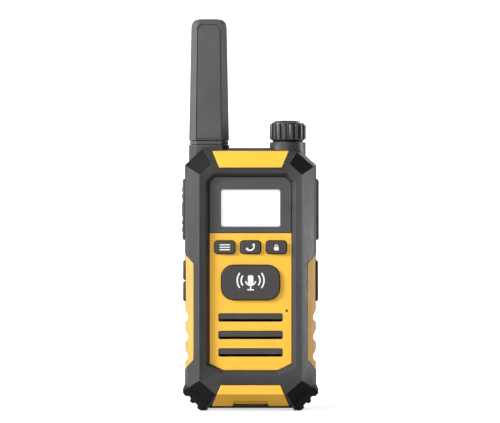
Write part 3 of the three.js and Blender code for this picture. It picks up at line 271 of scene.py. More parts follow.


# grain, its depth and the reach of the painted shade in mm; a worn colour also brings worn edges and painted
# shade in seams and recesses
finishes = {
    "charcoalShell": {
        "color": (0.043, 0.043, 0.044),
        "roughness": 0.4,
        "grain": (0.22, 0.03),
        "worn": (0.15, 0.15, 0.15),
        "wornShare": 0.5,
        "shine": 0.35,
        "paintedShadeStrength": 0.9,
        "reach": 3,
    },
    "charcoalSoft": {"color": (0.07, 0.07, 0.07), "roughness": 0.5, "grain": (0.16, 0.02), "shine": 0.35},
    "sidePlastic": {
        "color": (0.045, 0.045, 0.046),
        "roughness": 0.5,
        "grain": (0.16, 0.02),
        "worn": (0.1, 0.1, 0.1),
        "wornShare": 0.4,
        "shine": 0.3,
    },
    "blackRubber": {
        "color": (0.009, 0.009, 0.0095),
        "roughness": 0.6,
        "grain": (0.18, 0.03),
        "worn": (0.035, 0.035, 0.035),
        "wornShare": 0.6,
        "shine": 0.12,
    },
    "aerialRubber": {
        "color": (0.082, 0.082, 0.082),
        "roughness": 0.6,
        "grain": (0.16, 0.02),
        "worn": (0.15, 0.15, 0.15),
        "wornShare": 0.5,
        "shine": 0.25,
    },
    "amberShell": {
        "color": (0.93, 0.52, 0.05),
        "roughness": 0.5,
        "grain": (0.2, 0.012),
        "worn": (0.97, 0.66, 0.17),
        "wornShare": 0.5,
        "mottle": 0.03,
        "shine": 0.4,
        "paintedShadeStrength": 0.65,
    },
    "amberGrip": {
        "color": (0.57, 0.33, 0.07),
        "roughness": 0.6,
        "grain": (0.2, 0.02),
        "worn": (0.8, 0.5, 0.15),
        "wornShare": 0.4,
        "mottle": 0.05,
    },
    "keyPlastic": {
        "color": (0.05, 0.048, 0.046),
        "roughness": 0.45,
        "grain": (0.12, 0.012),
        "worn": (0.12, 0.12, 0.12),
        "wornShare": 0.5,
        "shine": 0.4,
    },
    "louvrePlastic": {
        "color": (0.056, 0.056, 0.054),
        "roughness": 0.42,
        "grain": (0.12, 0.012),
        "worn": (0.12, 0.12, 0.12),
        "wornShare": 0.5,
        "shine": 0.4,
    },
    "knobPlastic": {
        "color": (0.036, 0.036, 0.036),
        "roughness": 0.4,
        "grain": (0.14, 0.012),
        "worn": (0.1, 0.1, 0.1),
        "wornShare": 0.5,
    },
    "blackPaper": {"color": (0.02, 0.02, 0.02), "roughness": 0.9, "grain": (0.1, 0.05), "shine": 0.1},
    "whiteInk": {"color": (0.9, 0.9, 0.88), "roughness": 0.5, "grain": (0.1, 0.004), "mottle": 0.02},
    "sleevePrint": {"color": (0.045, 0.13, 0.25), "roughness": 0.3, "grain": (1.5, 0.002), "mottle": 0.03},
}
plainFinish = {"worn": None, "mottle": 0.08, "shine": 0.5, "paintedShadeStrength": 0.8, "reach": 2.2}


def moulded(name):
    look = {**plainFinish, **finishes[name]}
    color, roughness = look["color"], look["roughness"]
    grain, depth = look["grain"]
    material, shader = newFinish(name, color, roughness)
    shader.inputs["Specular IOR Level"].default_value = look["shine"]
    cloud = remap(material, speckle(material, 9 * mm, 4), 0, 1)
    darker = tuple(c * (1 - look["mottle"]) for c in color)
    lighter = tuple(min(1, c * (1 + look["mottle"])) for c in color)
    tint = blendColors(material, cloud, darker, lighter)
    if look["worn"]:
        tint = blendColors(material, edgeShare(material, 0.5 * mm, look["wornShare"]), tint, look["worn"])
        # painted shade: the colour goes towards near black where a spot lies down in a seam or a recess
        paintedShadeColor = tuple(c * c * 0.25 for c in color)
        tint = blendColors(material, paintedShadeShare(material, look["reach"] * mm, look["paintedShadeStrength"]), tint, paintedShadeColor)
    plug(material, tint, shader.inputs["Base Color"])
    sheen = remap(material, speckle(material, 2.5 * mm, 5), roughness - 0.06, roughness + 0.06)
    plug(material, sheen, shader.inputs["Roughness"])
    bump(material, shader, speckle(material, grain * mm, 3), depth * mm)
    return material


charcoalShell = moulded("charcoalShell")
charcoalSoft = moulded("charcoalSoft")
sidePlastic = moulded("sidePlastic")
blackRubber = moulded("blackRubber")
aerialRubber = moulded("aerialRubber")
amberShell = moulded("amberShell")
amberGrip = moulded("amberGrip")
keyPlastic = moulded("keyPlastic")
louvrePlastic = moulded("louvrePlastic")
knobPlastic = moulded("knobPlastic")
blackPaper = moulded("blackPaper")
whiteInk = moulded("whiteInk")
sleevePrint = moulded("sleevePrint")


def makeDisplayPanel():
    material, shader = newFinish("displayPanel", (0.92, 0.93, 0.9), 0.35)
    cloud = remap(material, speckle(material, 12 * mm, 2), 0, 1)
    tint = blendColors(material, cloud, (0.9, 0.91, 0.88), (0.94, 0.95, 0.93))
    plug(material, tint, shader.inputs["Base Color"])
    # painted light: the panel glows faintly, though it is no lamp, so that it reads a brighter white
    shader.inputs["Emission Color"].default_value = (1, 1, 0.98, 1)
    shader.inputs["Emission Strength"].default_value = 0.35
    bump(material, shader, speckle(material, 0.3 * mm, 1), 0.002 * mm)
    return material


def makeClearLens():
    material, shader = newFinish("clearLens", (0.95, 0.97, 0.96), 0.04)
    shader.inputs["Alpha"].default_value = 0.12
    smear = remap(material, speckle(material, 4 * mm, 3), 0.03, 0.09)
    plug(material, smear, shader.inputs["Roughness"])
    return material


def metal(name, color, roughness, stretch):
    material, shader = newFinish(name, color, roughness, 1.0)
    lines = speckle(material, 0.15 * mm, 4, stretch)
    plug(material, remap(material, lines, roughness - 0.08, roughness + 0.12), shader.inputs["Roughness"])
    tint = blendColors(material, remap(material, lines, 0, 1), tuple(c * 0.85 for c in color), color)
    plug(material, tint, shader.inputs["Base Color"])
    bump(material, shader, lines, 0.004 * mm)
    return material


def makeSolderMask():
    material, shader = newFinish("solderMask", (0.02, 0.14, 0.05), 0.3)
    place = addNode(material, "ShaderNodeTexCoord")
    tracks = addNode(material, "ShaderNodeTexBrick")
    tracks.inputs["Scale"].default_value = 1 / (3 * mm)
    tracks.inputs["Mortar Size"].default_value = 0.06
    tracks.inputs["Color1"].default_value = (0.015, 0.12, 0.04, 1)
    tracks.inputs["Color2"].default_value = (0.02, 0.17, 0.06, 1)
    tracks.inputs["Mortar"].default_value = (0.05, 0.28, 0.09, 1)
    plug(material, place.outputs["Object"], tracks.inputs["Vector"])
    plug(material, tracks.outputs["Color"], shader.inputs["Base Color"])
    bump(material, shader, tracks.outputs["Fac"], 0.03 * mm)
    return material


displayPanel = makeDisplayPanel()
clearLens = makeClearLens()
nickelSteel = metal("nickelSteel", (0.62, 0.63, 0.64), 0.28, (1, 1, 0.08))
bareBrass = metal("bareBrass", (0.75, 0.52, 0.2), 0.3, (1, 1, 0.1))
solderMask = makeSolderMask()
print("finishes ready")


# pieces
def addPiece(name, mesh, body, slotName, material, *nodes):
    piece = bpy.data.objects.new(name, mesh)
    scene.collection.objects.link(piece)
    if material:
        mesh.materials.clear()
        mesh.materials.append(material)
    mesh.polygons.foreach_set("use_smooth", [True] * len(mesh.polygons))
    mesh.set_sharp_from_angle(angle=math.radians(32))
    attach(piece, body)
    if nodes:
        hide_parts(*nodes)
    return piece


def cleanCopy(node):
    mesh = frame["nodes"][node].data.copy()
    shape = bmesh.new()
    shape.from_mesh(mesh)
    bmesh.ops.remove_doubles(shape, verts=shape.verts, dist=0.002 * mm)
    bmesh.ops.dissolve_limit(shape, angle_limit=math.radians(0.8), verts=shape.verts, edges=shape.edges)
    shape.to_mesh(mesh)
    shape.free()
    return mesh


def softenEdges(piece, edge, segments, sharp, harden=True):
    bevel = piece.modifiers.new("edges", "BEVEL")
    bevel.width = edge
    bevel.segments = segments
    bevel.limit_method = "ANGLE"
    bevel.angle_limit = math.radians(sharp)
    bevel.harden_normals = harden
    bevel.use_clamp_overlap = True
    return piece


def footOf(node):  # middle of the node's underside
    low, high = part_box(node)
    return Vector(((low.x + high.x) / 2, (low.y + high.y) / 2, low.z))


def bodyOf(node):
    return next(body for body, nodes in frame["record"]["behaviour"]["bodies"].items() if node in nodes)


def slotOf(node):
    return next(row["material_slot"] for row in frame["record"]["subparts"] if row["node"] == node)


# CAD node, finish, radius of the edges in mm, segments in it,
# angle in degrees below which an edge stays as it is
refined = {
    "housingFront": ("front_housing", charcoalShell, 0.45, 3, 14),
    "housingRear": ("rear_housing", charcoalShell, 0.45, 3, 20),
    "gasket": ("housing_gasket", blackRubber, 0.1, 2, 24),
    "bumperTop": ("top_bumper", amberShell, 0.75, 4, 14),
    "bumperBottom": ("bottom_bumper", amberShell, 0.5, 3, 14),
    "guard_bottom_right": ("corner_guard_bottom_right", blackRubber, 0.35, 3, 14),
    "guard_top_right": ("corner_guard_top_right", blackRubber, 0.35, 3, 14),
    "guard_top_left": ("corner_guard_top_left", blackRubber, 0.35, 3, 14),
    "guard_bottom_left": ("corner_guard_bottom_left", blackRubber, 0.35, 3, 14),
    "gripLeft": ("left_grip", amberGrip, 0.3, 3, 16),
    "gripRight": ("right_grip", amberGrip, 0.3, 3, 16),
    "facePlate": ("face_plate", amberShell, 0.28, 3, 20),
    "bezel": ("display_bezel", charcoalSoft, 0.25, 3, 20),
    "displayLens": ("display_window", clearLens, 0.1, 2, 24),
    "displayUnit": ("lcd_module", displayPanel, 0.1, 2, 24),
    "menu_key_cap": ("menu_key", keyPlastic, 0.4, 4, 24),
    "call_key_cap": ("call_key", keyPlastic, 0.4, 4, 24),
    "lock_key_cap": ("lock_key", keyPlastic, 0.4, 4, 24),
    "talkButton": ("talk_button", keyPlastic, 0.7, 5, 24),
    "louvres": ("speaker_grille", louvrePlastic, 0.3, 3, 24),
    "sideTalkKey": ("side_talk_key", sidePlastic, 0.3, 3, 24),
    "upKey": ("up_key", sidePlastic, 0.3, 3, 24),
    "downKey": ("down_key", sidePlastic, 0.3, 3, 24),
    "jackCover": ("jack_cover", sidePlastic, 0.3, 3, 24),
    "chargeCover": ("charge_cover", sidePlastic, 0.3, 3, 24),
    "aerialCollar": ("aerial_collar", charcoalSoft, 0.25, 2, 16),
    "doorPanel": ("battery_door", charcoalShell, 0.25, 3, 24),
    "clipBracket": ("clip_bracket", charcoalSoft, 0.25, 2, 24),
    "clipBlade": ("belt_clip", charcoalShell, 0.4, 3, 20),
}
for name, (node, material, edge, segments, sharp) in refined.items():
    piece = addPiece(name, cleanCopy(node), bodyOf(node), slotOf(node), material, node)
    softenEdges(piece, edge * mm, segments, sharp)
print("housings, plates and keys ready")


# mesh helpers
def meshFrom(name, points, faces):
    mesh = bpy.data.meshes.new(name)
    mesh.from_pydata(points, [], faces)
    shape = bmesh.new()
    shape.from_mesh(mesh)
    bmesh.ops.remove_doubles(shape, verts=shape.verts, dist=0.001 * mm)
    bmesh.ops.recalc_face_normals(shape, faces=shape.faces)
    shape.to_mesh(mesh)
    shape.free()
    return mesh


def loft(rings, hoop=False):  # skins rings of points, with end caps or closed on the first ring
    count = len(rings[0])
    faces = []
    for ring in range(len(rings) if hoop else len(rings) - 1):
        here, there = ring * count, (ring + 1) % len(rings) * count
        for i in range(count):
            j = (i + 1) % count
            faces.append((here + i, here + j, there + j, there + i))
    last = (len(rings) - 1) * count
    if not hoop:
        faces += [tuple(reversed(range(count))), tuple(range(last, last + count))]
    return [tuple(point) for ring in rings for point in ring], faces


def joined(skins):
    points, faces = [], []
    for morePoints, moreFaces in skins:
        start = len(points)
        points += morePoints
        faces += [tuple(start + i for i in face) for face in moreFaces]
    return points, faces


def circle(radius, steps):
    turns = [2 * math.pi * i / steps for i in range(steps)]
    return [(radius * math.cos(turn), radius * math.sin(turn)) for turn in turns]


def lathe(name, profile, centre, steps=48):  # profile of (radius, height) from the bottom up, in mm
    rings = [
        [centre + Vector((x, y, height)) * mm for x, y in circle(radius, steps)] for radius, height in profile
    ]
    return meshFrom(name, *loft(rings))


def upright(outline, y):  # an outline of (x, z) in mm, as a ring that stands at y in metres
    return [(x * mm, y, z * mm) for x, z in outline]


# geometry node trees
def newTree(name, inputs):
    tree = bpy.data.node_groups.new(name, "GeometryNodeTree")
    tree.interface.new_socket("Geometry", in_out="OUTPUT", socket_type="NodeSocketGeometry")
    for inputName, kind, value in inputs:
        socket = tree.interface.new_socket(inputName, in_out="INPUT", socket_type="NodeSocket" + kind)
        if value is not None:
            socket.default_value = value
    start = tree.nodes.new("NodeGroupInput")
    end = tree.nodes.new("NodeGroupOutput")
    return tree, start.outputs, end.inputs


def treeNode(tree, kind, **sockets):
    node = tree.nodes.new(kind)
    for name, value in sockets.items():
        wire(tree, value, node.inputs[name.replace("_", " ")])
    return node


def wire(tree, value, socket):
    if isinstance(value, bpy.types.NodeSocket):
        tree.links.new(value, socket)
    else:
        socket.default_value = value


def mathNode(tree, operation, first, second):
    node = tree.nodes.new("ShaderNodeMath")
    node.operation = operation
    wire(tree, first, node.inputs[0])
    wire(tree, second, node.inputs[1])
    return node.outputs["Value"]


def endTree(tree, geometry, end, material):
    solid = treeNode(tree, "GeometryNodeRealizeInstances", Geometry=geometry)
    painted = treeNode(tree, "GeometryNodeSetMaterial", Geometry=solid.outputs["Geometry"])
    painted.inputs["Material"].default_value = material
    tree.links.new(painted.outputs["Geometry"], end["Geometry"])


def grow(name, tree, settings, base=None):  # the tree's result as a plain mesh
    holder = bpy.data.objects.new(name + "Holder", base or bpy.data.meshes.new(name + "Base"))
    scene.collection.objects.link(holder)
    modifier = holder.modifiers.new("tree", "NODES")
    modifier.node_group = tree
    for item in tree.interface.items_tree:
        if item.in_out == "INPUT" and item.name in settings:
            modifier[item.identifier] = settings[item.name]
    ready = holder.evaluated_get(bpy.context.evaluated_depsgraph_get())
    mesh = bpy.data.meshes.new_from_object(ready)
    bpy.data.objects.remove(holder)
    return mesh


def shapeHolder(name, mesh):  # a shape that a tree copies, kept out of the scene
    return bpy.data.objects.new(name, mesh)


# volume knob
knob = {
    "coreRadius": 6.95,
    "ribCount": 18,
    "ribWide": 1.35,
    "ribOut": 7.8,
    "ribLow": 0.55,
    "ribHigh": 7.3,
    "ribCorner": 0.35,
    "ribSunk": 0.3,  # the ribs start this far inside the core
    "dotRadius": 0.45,
    "dotOut": 4.6,
    "dotHeights": (8.2, 8.5),
}


def knobRib():
    low, high, corner = knob["ribLow"], knob["ribHigh"], knob["ribCorner"]
    wide, out, core = knob["ribWide"] / 2, knob["ribOut"], knob["coreRadius"] - knob["ribSunk"]
    section = [
        (core, -wide), (out - corner, -wide), (out, -wide + corner),
        (out, wide - corner), (out - corner, wide), (core, wide),
    ]
    leanIn = [(0.0, low), (0.0, high - 0.9), (0.5, high - 0.25), (1.0, high)]
    rings = [
        [(max(core, radius - inset) * mm, across * mm, height * mm) for radius, across in section]
        for inset, height in leanIn
    ]
    return meshFrom("knobRib", *loft(rings))


def ringTree(material):
    inputs = [("Count", "Int", 12), ("Shape", "Object", None), ("Place", "Vector", (0, 0, 0))]
    tree, start, end = newTree("ribRing", inputs)
    line = treeNode(tree, "GeometryNodeMeshLine", Count=start["Count"], Offset=(0, 0, 0))
    shape = treeNode(tree, "GeometryNodeObjectInfo", Object=start["Shape"])
    index = tree.nodes.new("GeometryNodeInputIndex")
    part = mathNode(tree, "DIVIDE", index.outputs["Index"], start["Count"])
    turn = treeNode(tree, "ShaderNodeCombineXYZ", Z=mathNode(tree, "MULTIPLY", part, 2 * math.pi))
    copies = treeNode(
        tree,
        "GeometryNodeInstanceOnPoints",
        Points=line.outputs["Mesh"],
        Instance=shape.outputs["Geometry"],
        Rotation=turn.outputs["Vector"],
    )
    moved = treeNode(
        tree, "GeometryNodeSetPosition", Geometry=copies.outputs["Instances"], Offset=start["Place"]
    )
    endTree(tree, moved.outputs["Geometry"], end, material)
    return tree


def makeKnob():
    body, slotName = bodyOf("volume_knob"), slotOf("volume_knob")
    centre = footOf("volume_knob")
    core = knob["coreRadius"]
    profile = [
        (5.6, 0.0), (6.9, 0.0), (7.2, 0.18), (7.25, 0.5), (core, 0.6), (core, 7.2), (6.75, 7.55),
        (6.25, 7.8), (6.0, 7.82), (5.9, 7.95), (5.7, 8.2), (5.0, 8.4), (3.6, 8.54), (1.8, 8.6), (0.4, 8.6),
    ]
    cap = lathe("knobCap", profile, centre, 72)
    addPiece("knobCap", cap, body, slotName, knobPlastic, "volume_knob")
    rib = shapeHolder("knobRib", knobRib())
    settings = {"Count": knob["ribCount"], "Shape": rib, "Place": tuple(centre)}
    ribs = grow("knobRibs", ringTree(knobPlastic), settings)
    piece = addPiece("knobRibs", ribs, body, slotName, None)
    softenEdges(piece, 0.12 * mm, 2, 30)
    rings = [
        [centre + Vector((x, -knob["dotOut"] - y, height)) * mm for x, y in circle(knob["dotRadius"], 20)]
        for height in knob["dotHeights"]
    ]
    addPiece("knobDot", meshFrom("knobDot", *loft(rings)), body, slotName, whiteInk)


makeKnob()


# screws
screw = {
    "headRadius": 1.85,
    "headHeight": 1.35,
    "shankRadius": 0.95,
    "pointLength": 1.6,
    "crossWide": 0.5,
    "crossReach": 1.15,
    "crossDeep": 0.75,
    "seed": 4,
}


def screwShape(name, length):  # stands on its point, with the top of its head at the origin
    r, h, shank, point = screw["headRadius"], screw["headHeight"], screw["shankRadius"], screw["pointLength"]
    profile = [
        (0.35, -length), (0.75, -length + point), (shank, -length + point), (shank, -h), (r - 0.12, -h),
        (r, -h + 0.12), (r, -0.55), (r - 0.12, -0.3), (r - 0.45, -0.1), (r - 0.9, -0.02), (0.2, 0.0),
    ]
    body = shapeHolder(name, lathe(name, profile, Vector((0, 0, 0)), 32))
    wide, reach = screw["crossWide"] / 2, screw["crossReach"]
    star = [
        (wide, wide), (wide, reach), (-wide, reach), (-wide, wide), (-reach, wide), (-reach, -wide),
        (-wide, -wide), (-wide, -reach), (wide, -reach), (wide, -wide), (reach, -wide), (reach, wide),
    ]
    rings = [
        [(x * share * mm, y * share * mm, height * mm) for x, y in star]
        for height, share in ((-screw["crossDeep"], 0.7), (0.3, 1.1))
    ]
    return carved(body, shapeHolder(name + "Cross", meshFrom(name + "Cross", *loft(rings))))


def carved(body, cutter):
    for item in (body, cutter):
        scene.collection.objects.link(item)
    boolean = body.modifiers.new("cut", "BOOLEAN")
    boolean.operation = "DIFFERENCE"
    boolean.solver = "EXACT"
    boolean.object = cutter
    mesh = bpy.data.meshes.new_from_object(body.evaluated_get(bpy.context.evaluated_depsgraph_get()))
    mesh.name = body.name
    bpy.data.objects.remove(cutter)
    bpy.data.objects.remove(body)
    return mesh


def screwTree(material):
    inputs = [("Places", "Geometry", None), ("Shape", "Object", None), ("Seed", "Int", 0)]
    tree, start, end = newTree("screws", inputs)
    shape = treeNode(tree, "GeometryNodeObjectInfo", Object=start["Shape"])
    turn = tree.nodes.new("FunctionNodeRandomValue")
    turn.data_type = "FLOAT"
    turn.inputs[2].default_value = 0.0
    turn.inputs[3].default_value = math.pi / 2
    wire(tree, start["Seed"], turn.inputs["Seed"])
    facing = treeNode(tree, "ShaderNodeCombineXYZ", X=-math.pi / 2, Z=0.0)
    spin = treeNode(tree, "ShaderNodeCombineXYZ", Z=turn.outputs[1])
    copies = treeNode(
        tree,
        "GeometryNodeInstanceOnPoints",
        Points=start["Places"],
        Instance=shape.outputs["Geometry"],
        Rotation=facing.outputs["Vector"],
    )
    spun = treeNode(
        tree,
        "GeometryNodeRotateInstances",
        Instances=copies.outputs["Instances"],
        Rotation=spin.outputs["Vector"],
    )
    endTree(tree, spun.outputs["Instances"], end, material)
    return tree


def makeScrews():
    tree = screwTree(nickelSteel)
    sets = {
        "caseScrews": ["case_screw_" + c for c in ("top_left", "top_right", "bottom_left", "bottom_right")],
        "bracketScrews": ["bracket_screw_left", "bracket_screw_right"],
    }
    for name, nodes in sets.items():
        places = [(middle(n).x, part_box(n)[1].y, middle(n).z) for n in nodes]
        base = bpy.data.meshes.new(name + "Places")
        base.from_pydata(places, [], [])
        length = (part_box(nodes[0])[1].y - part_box(nodes[0])[0].y) / mm
        shape = shapeHolder(name + "Shape", screwShape(name + "Shape", length))
        mesh = grow(name, tree, {"Shape": shape, "Seed": screw["seed"]}, base)
        addPiece(name, mesh, "case", slotOf(nodes[0]), None, *nodes)


makeScrews()


# springs under the cells, and the aerial's coil
spring = {"turns": 5.0, "foot": 3.6, "top": 2.2, "height": 3.9, "wire": 0.22}
coil = {"turns": 14.0, "wire": 0.35, "inside": 0.4}  # inside: from the node's box to the wire's middle


def coilTree(material):
    tree, start, end = newTree(
        "coil",
        [
            ("Places", "Geometry", None),
            ("Turns", "Float", 5.0),
            ("Foot", "Float", 0.003),
            ("Top", "Float", 0.002),
            ("Height", "Float", 0.004),
            ("Wire", "Float", 0.0002),
        ],
    )
    spiral = treeNode(
        tree,
        "GeometryNodeCurveSpiral",
        Resolution=28,
        Rotations=start["Turns"],
        Start_Radius=start["Foot"],
        End_Radius=start["Top"],
        Height=start["Height"],
    )
    section = treeNode(tree, "GeometryNodeCurvePrimitiveCircle", Resolution=8, Radius=start["Wire"])
    tube = treeNode(
        tree, "GeometryNodeCurveToMesh", Curve=spiral.outputs["Curve"], Profile_Curve=section.outputs["Curve"]
    )
    tube.inputs["Fill Caps"].default_value = True
    copies = treeNode(
        tree, "GeometryNodeInstanceOnPoints", Points=start["Places"], Instance=tube.outputs["Mesh"]
    )
    endTree(tree, copies.outputs["Instances"], end, material)
    return tree


def makeCoils():
    nodes = ["cell_spring_1", "cell_spring_2", "cell_spring_3"]
    base = bpy.data.meshes.new("springPlaces")
    lift = Vector((0, 0, spring["wire"] * mm))
    base.from_pydata([footOf(node) + lift for node in nodes], [], [])
    settings = {
        "Turns": spring["turns"],
        "Foot": (spring["foot"] - spring["wire"]) * mm,
        "Top": spring["top"] * mm,
        "Height": spring["height"] * mm,
        "Wire": spring["wire"] * mm,
    }
    mesh = grow("cellSprings", coilTree(nickelSteel), settings, base)
    addPiece("cellSprings", mesh, "case", slotOf("cell_spring_1"), None, *nodes)
    low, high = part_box("aerial_coil")
    inside = coil["inside"] * mm
    base = bpy.data.meshes.new("coilPlace")
    base.from_pydata([(middle("aerial_coil").x, middle("aerial_coil").y, low.z + inside)], [], [])
    settings = {
        "Turns": coil["turns"],
        "Foot": (high.x - low.x) / 2 - inside,
        "Top": (high.x - low.x) / 2 - inside,
        "Height": high.z - low.z - 2 * inside,
        "Wire": coil["wire"] * mm,
    }
    mesh = grow("aerialCoil", coilTree(bareBrass), settings, base)
    addPiece("aerialCoil", mesh, "case", slotOf("aerial_coil"), None, "aerial_coil")


makeCoils()


# mesh screen behind the louvres
screen = {"radius": 12.9, "pitch": 0.5, "wire": 0.085, "ahead": 0.145}  # ahead of the speaker's frame


def screenTree(material):
    tree, start, end = newTree(
        "screenWires",
        [
            ("Radius", "Float", 0.012),
            ("Pitch", "Float", 0.0005),
            ("Wire", "Float", 0.0001),
            ("Place", "Vector", (0, 0, 0)),
        ],
    )
    half = mathNode(tree, "FLOOR", mathNode(tree, "DIVIDE", start["Radius"], start["Pitch"]), 0.0)
    count = mathNode(tree, "ADD", mathNode(tree, "MULTIPLY", half, 2.0), -1.0)
    down = mathNode(tree, "MULTIPLY", start["Pitch"], -1.0)
    first = mathNode(tree, "MULTIPLY", mathNode(tree, "ADD", half, -1.0), down)
    origin = treeNode(tree, "ShaderNodeCombineXYZ", Z=first)
    step = treeNode(tree, "ShaderNodeCombineXYZ", Z=start["Pitch"])
    line = treeNode(
        tree,
        "GeometryNodeMeshLine",
        Count=count,
        Start_Location=origin.outputs["Vector"],
        Offset=step.outputs["Vector"],
    )
    size = treeNode(tree, "ShaderNodeCombineXYZ", X=1.0, Y=start["Wire"], Z=start["Wire"])
    rod = treeNode(tree, "GeometryNodeMeshCube", Size=size.outputs["Vector"])
    position = tree.nodes.new("GeometryNodeInputPosition")
    split = treeNode(tree, "ShaderNodeSeparateXYZ", Vector=position.outputs["Position"])
    inside = mathNode(
        tree,
        "SUBTRACT",
        mathNode(tree, "MULTIPLY", start["Radius"], start["Radius"]),
        mathNode(tree, "MULTIPLY", split.outputs["Z"], split.outputs["Z"]),
    )
    chord = mathNode(tree, "MULTIPLY", mathNode(tree, "SQRT", inside, 0.0), 2.0)
    scale = treeNode(tree, "ShaderNodeCombineXYZ", X=chord, Y=1.0, Z=1.0)
    rows = treeNode(
        tree,
        "GeometryNodeInstanceOnPoints",
        Points=line.outputs["Mesh"],
        Instance=rod.outputs["Mesh"],
        Scale=scale.outputs["Vector"],
    )
    rowSolid = treeNode(tree, "GeometryNodeRealizeInstances", Geometry=rows.outputs["Instances"])
    back = treeNode(tree, "ShaderNodeCombineXYZ", Y=start["Wire"])
    columns = treeNode(
        tree,
        "GeometryNodeTransform",
        Geometry=rowSolid.outputs["Geometry"],
        Translation=back.outputs["Vector"],
        Rotation=(0.0, math.pi / 2, 0.0),
    )
    both = tree.nodes.new("GeometryNodeJoinGeometry")
    tree.links.new(rowSolid.outputs["Geometry"], both.inputs["Geometry"])
    tree.links.new(columns.outputs["Geometry"], both.inputs["Geometry"])
    moved = treeNode(
        tree, "GeometryNodeTransform", Geometry=both.outputs["Geometry"], Translation=start["Place"]
    )
    endTree(tree, moved.outputs["Geometry"], end, material)
    return tree


def makeScreen():
    centre = middle("speaker_frame")
    place = (centre.x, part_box("speaker_frame")[0].y - screen["ahead"] * mm, centre.z)
    settings = {
        "Radius": screen["radius"] * mm,
        "Pitch": screen["pitch"] * mm,
        "Wire": screen["wire"] * mm,
        "Place": place,
    }
    mesh = grow("speakerScreen", screenTree(blackPaper), settings)
    addPiece("speakerScreen", mesh, "case", slotOf("speaker_cone"), None)


makeScreen()


# cells: a printed sleeve round a bare can
cell = {"radius": 5.25, "canIn": 0.2, "buttonRadius": 1.9, "buttonHigh": 0.9}


def cellProfiles(tall):
    r, b, crown = cell["radius"], cell["buttonRadius"], tall - cell["buttonHigh"]
    side = r - cell["canIn"]
    can = [
        (0.5, 0.0), (r - 1.1, 0.0), (r - 0.5, 0.15), (side, 0.6), (side, tall - 1.6), (r - 0.6, crown - 0.15),
        (r - 1.2, crown), (b + 0.6, crown - 0.1), (b + 0.15, crown), (b, tall - 0.25), (b - 0.3, tall),
        (0.4, tall),
    ]
    wrap = [
        (r - 0.25, 0.35), (r - 0.05, 0.4), (r, 0.6),
        (r, tall - 1.7), (r - 0.1, tall - 1.4), (r - 0.3, tall - 1.35),
    ]
    return {"can": (can, nickelSteel, "steel"), "wrap": (wrap, sleevePrint, "cell_sleeve")}


def makeCells():
    for number in (1, 2, 3):
        node = f"cell_{number}"
        low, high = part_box(node)
        tall = (high.z - low.z) / mm
        for part, (profile, material, slotName) in cellProfiles(tall).items():
            if number == 2:  # the middle cell stands the other way up
                profile = [(radius, tall - height) for radius, height in reversed(profile)]
            mesh = lathe(f"{node}_{part}", profile, footOf(node))
            addPiece(f"{node}_{part}", mesh, "case", slotName, material, node)


makeCells()


# spring that holds the belt clip shut: a coil round the pin, one leg on the bracket, one on the clip
clipSpring = {
    "wireRadius": 0.35,
    "wireSides": 10,
    "coilRadius": 1.5,
    "coilHalf": 3.6,  # half the coil's length along the pin
    "turns": 5.5,
    "coilSteps": 96,
    "legSteps": 9,
}


def clipSpringPath():
    low, high = (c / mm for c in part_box("clip_spring"))
    pinY, pinZ = middle("clip_pin").y / mm, middle("clip_pin").z / mm
    inside, radius, half = clipSpring["wireRadius"], clipSpring["coilRadius"], clipSpring["coilHalf"]
    steps, legs = clipSpring["coilSteps"], clipSpring["legSteps"]
    coilPath = []
    for i in range(steps + 1):
        turn = 2 * math.pi * clipSpring["turns"] * i / steps - math.pi / 2
        x = -half + 2 * half * i / steps
        coilPath.append(Vector((x, pinY + radius * math.sin(turn), pinZ + radius * math.cos(turn))))
    foot = Vector((-half, low.y + inside, low.z + inside))
    head = Vector((half, high.y - inside, high.z - inside))
    down = [foot.lerp(coilPath[0], i / legs) for i in range(legs)]
    up = [coilPath[-1].lerp(head, i / legs) for i in range(1, legs + 1)]
    return down + coilPath + up


def wireRings(path, radius, sides):  # the section is carried along, so that the wire doesn't twist
    rings = []
    across = Vector((1, 0, 0))
    for i, spot in enumerate(path):
        ahead = (path[min(i + 1, len(path) - 1)] - path[max(i - 1, 0)]).normalized()
        across = (across - ahead * across.dot(ahead)).normalized()
        other = ahead.cross(across)
        rings.append([(spot + across * x + other * y) * mm for x, y in circle(radius, sides)])
    return rings


def makeClipSpring():
    rings = wireRings(clipSpringPath(), clipSpring["wireRadius"], clipSpring["wireSides"])
    mesh = meshFrom("clipSpring", *loft(rings))
    mesh.materials.append(nickelSteel)
    mesh.polygons.foreach_set("use_smooth", [True] * len(mesh.polygons))
    piece = bpy.data.objects.new("clipSpring", mesh)
    scene.collection.objects.link(piece)
    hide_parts("clip_spring")
    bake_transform(piece)


makeClipSpring()


# aerial with a panel line on both faces
aerial = {
    "grooveFloor": 0.24,  # width at the bottom of the groove
    "grooveFlare": 0.42,  # how much each side leans out, per mm of height
    "grooveDeep": 0.38,
    "footIn": 3.15,
    "tipIn": 2.75,
    "fromBottom": 0.95,
    "belowTip": 2.5,
    "cornerCut": 1.7,
    "taper": 0.95,  # each edge of the sleeve leans in by this towards the tip
    "tipDepth": 9.8,
    "tipLength": 3.3,
    "reachOut": 1.0,  # the cutter stands out of the sleeve by this
}


def panelLoop(wider):
    low, high = (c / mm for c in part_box("aerial_sleeve"))
    x, half = (low.x + high.x) / 2, (high.x - low.x) / 2
    foot = half - aerial["footIn"] + wider
    tip = half - aerial["taper"] - aerial["tipIn"] + wider
    bottom, top = low.z + aerial["fromBottom"] - wider, high.z - aerial["belowTip"] + wider
    cut = aerial["cornerCut"] + 0.4 * wider
    return [
        (x - foot, bottom), (x + foot, bottom), (x + tip, top - cut), (x + tip - cut, top),
        (x - tip + cut, top), (x - tip, top - cut),
    ]


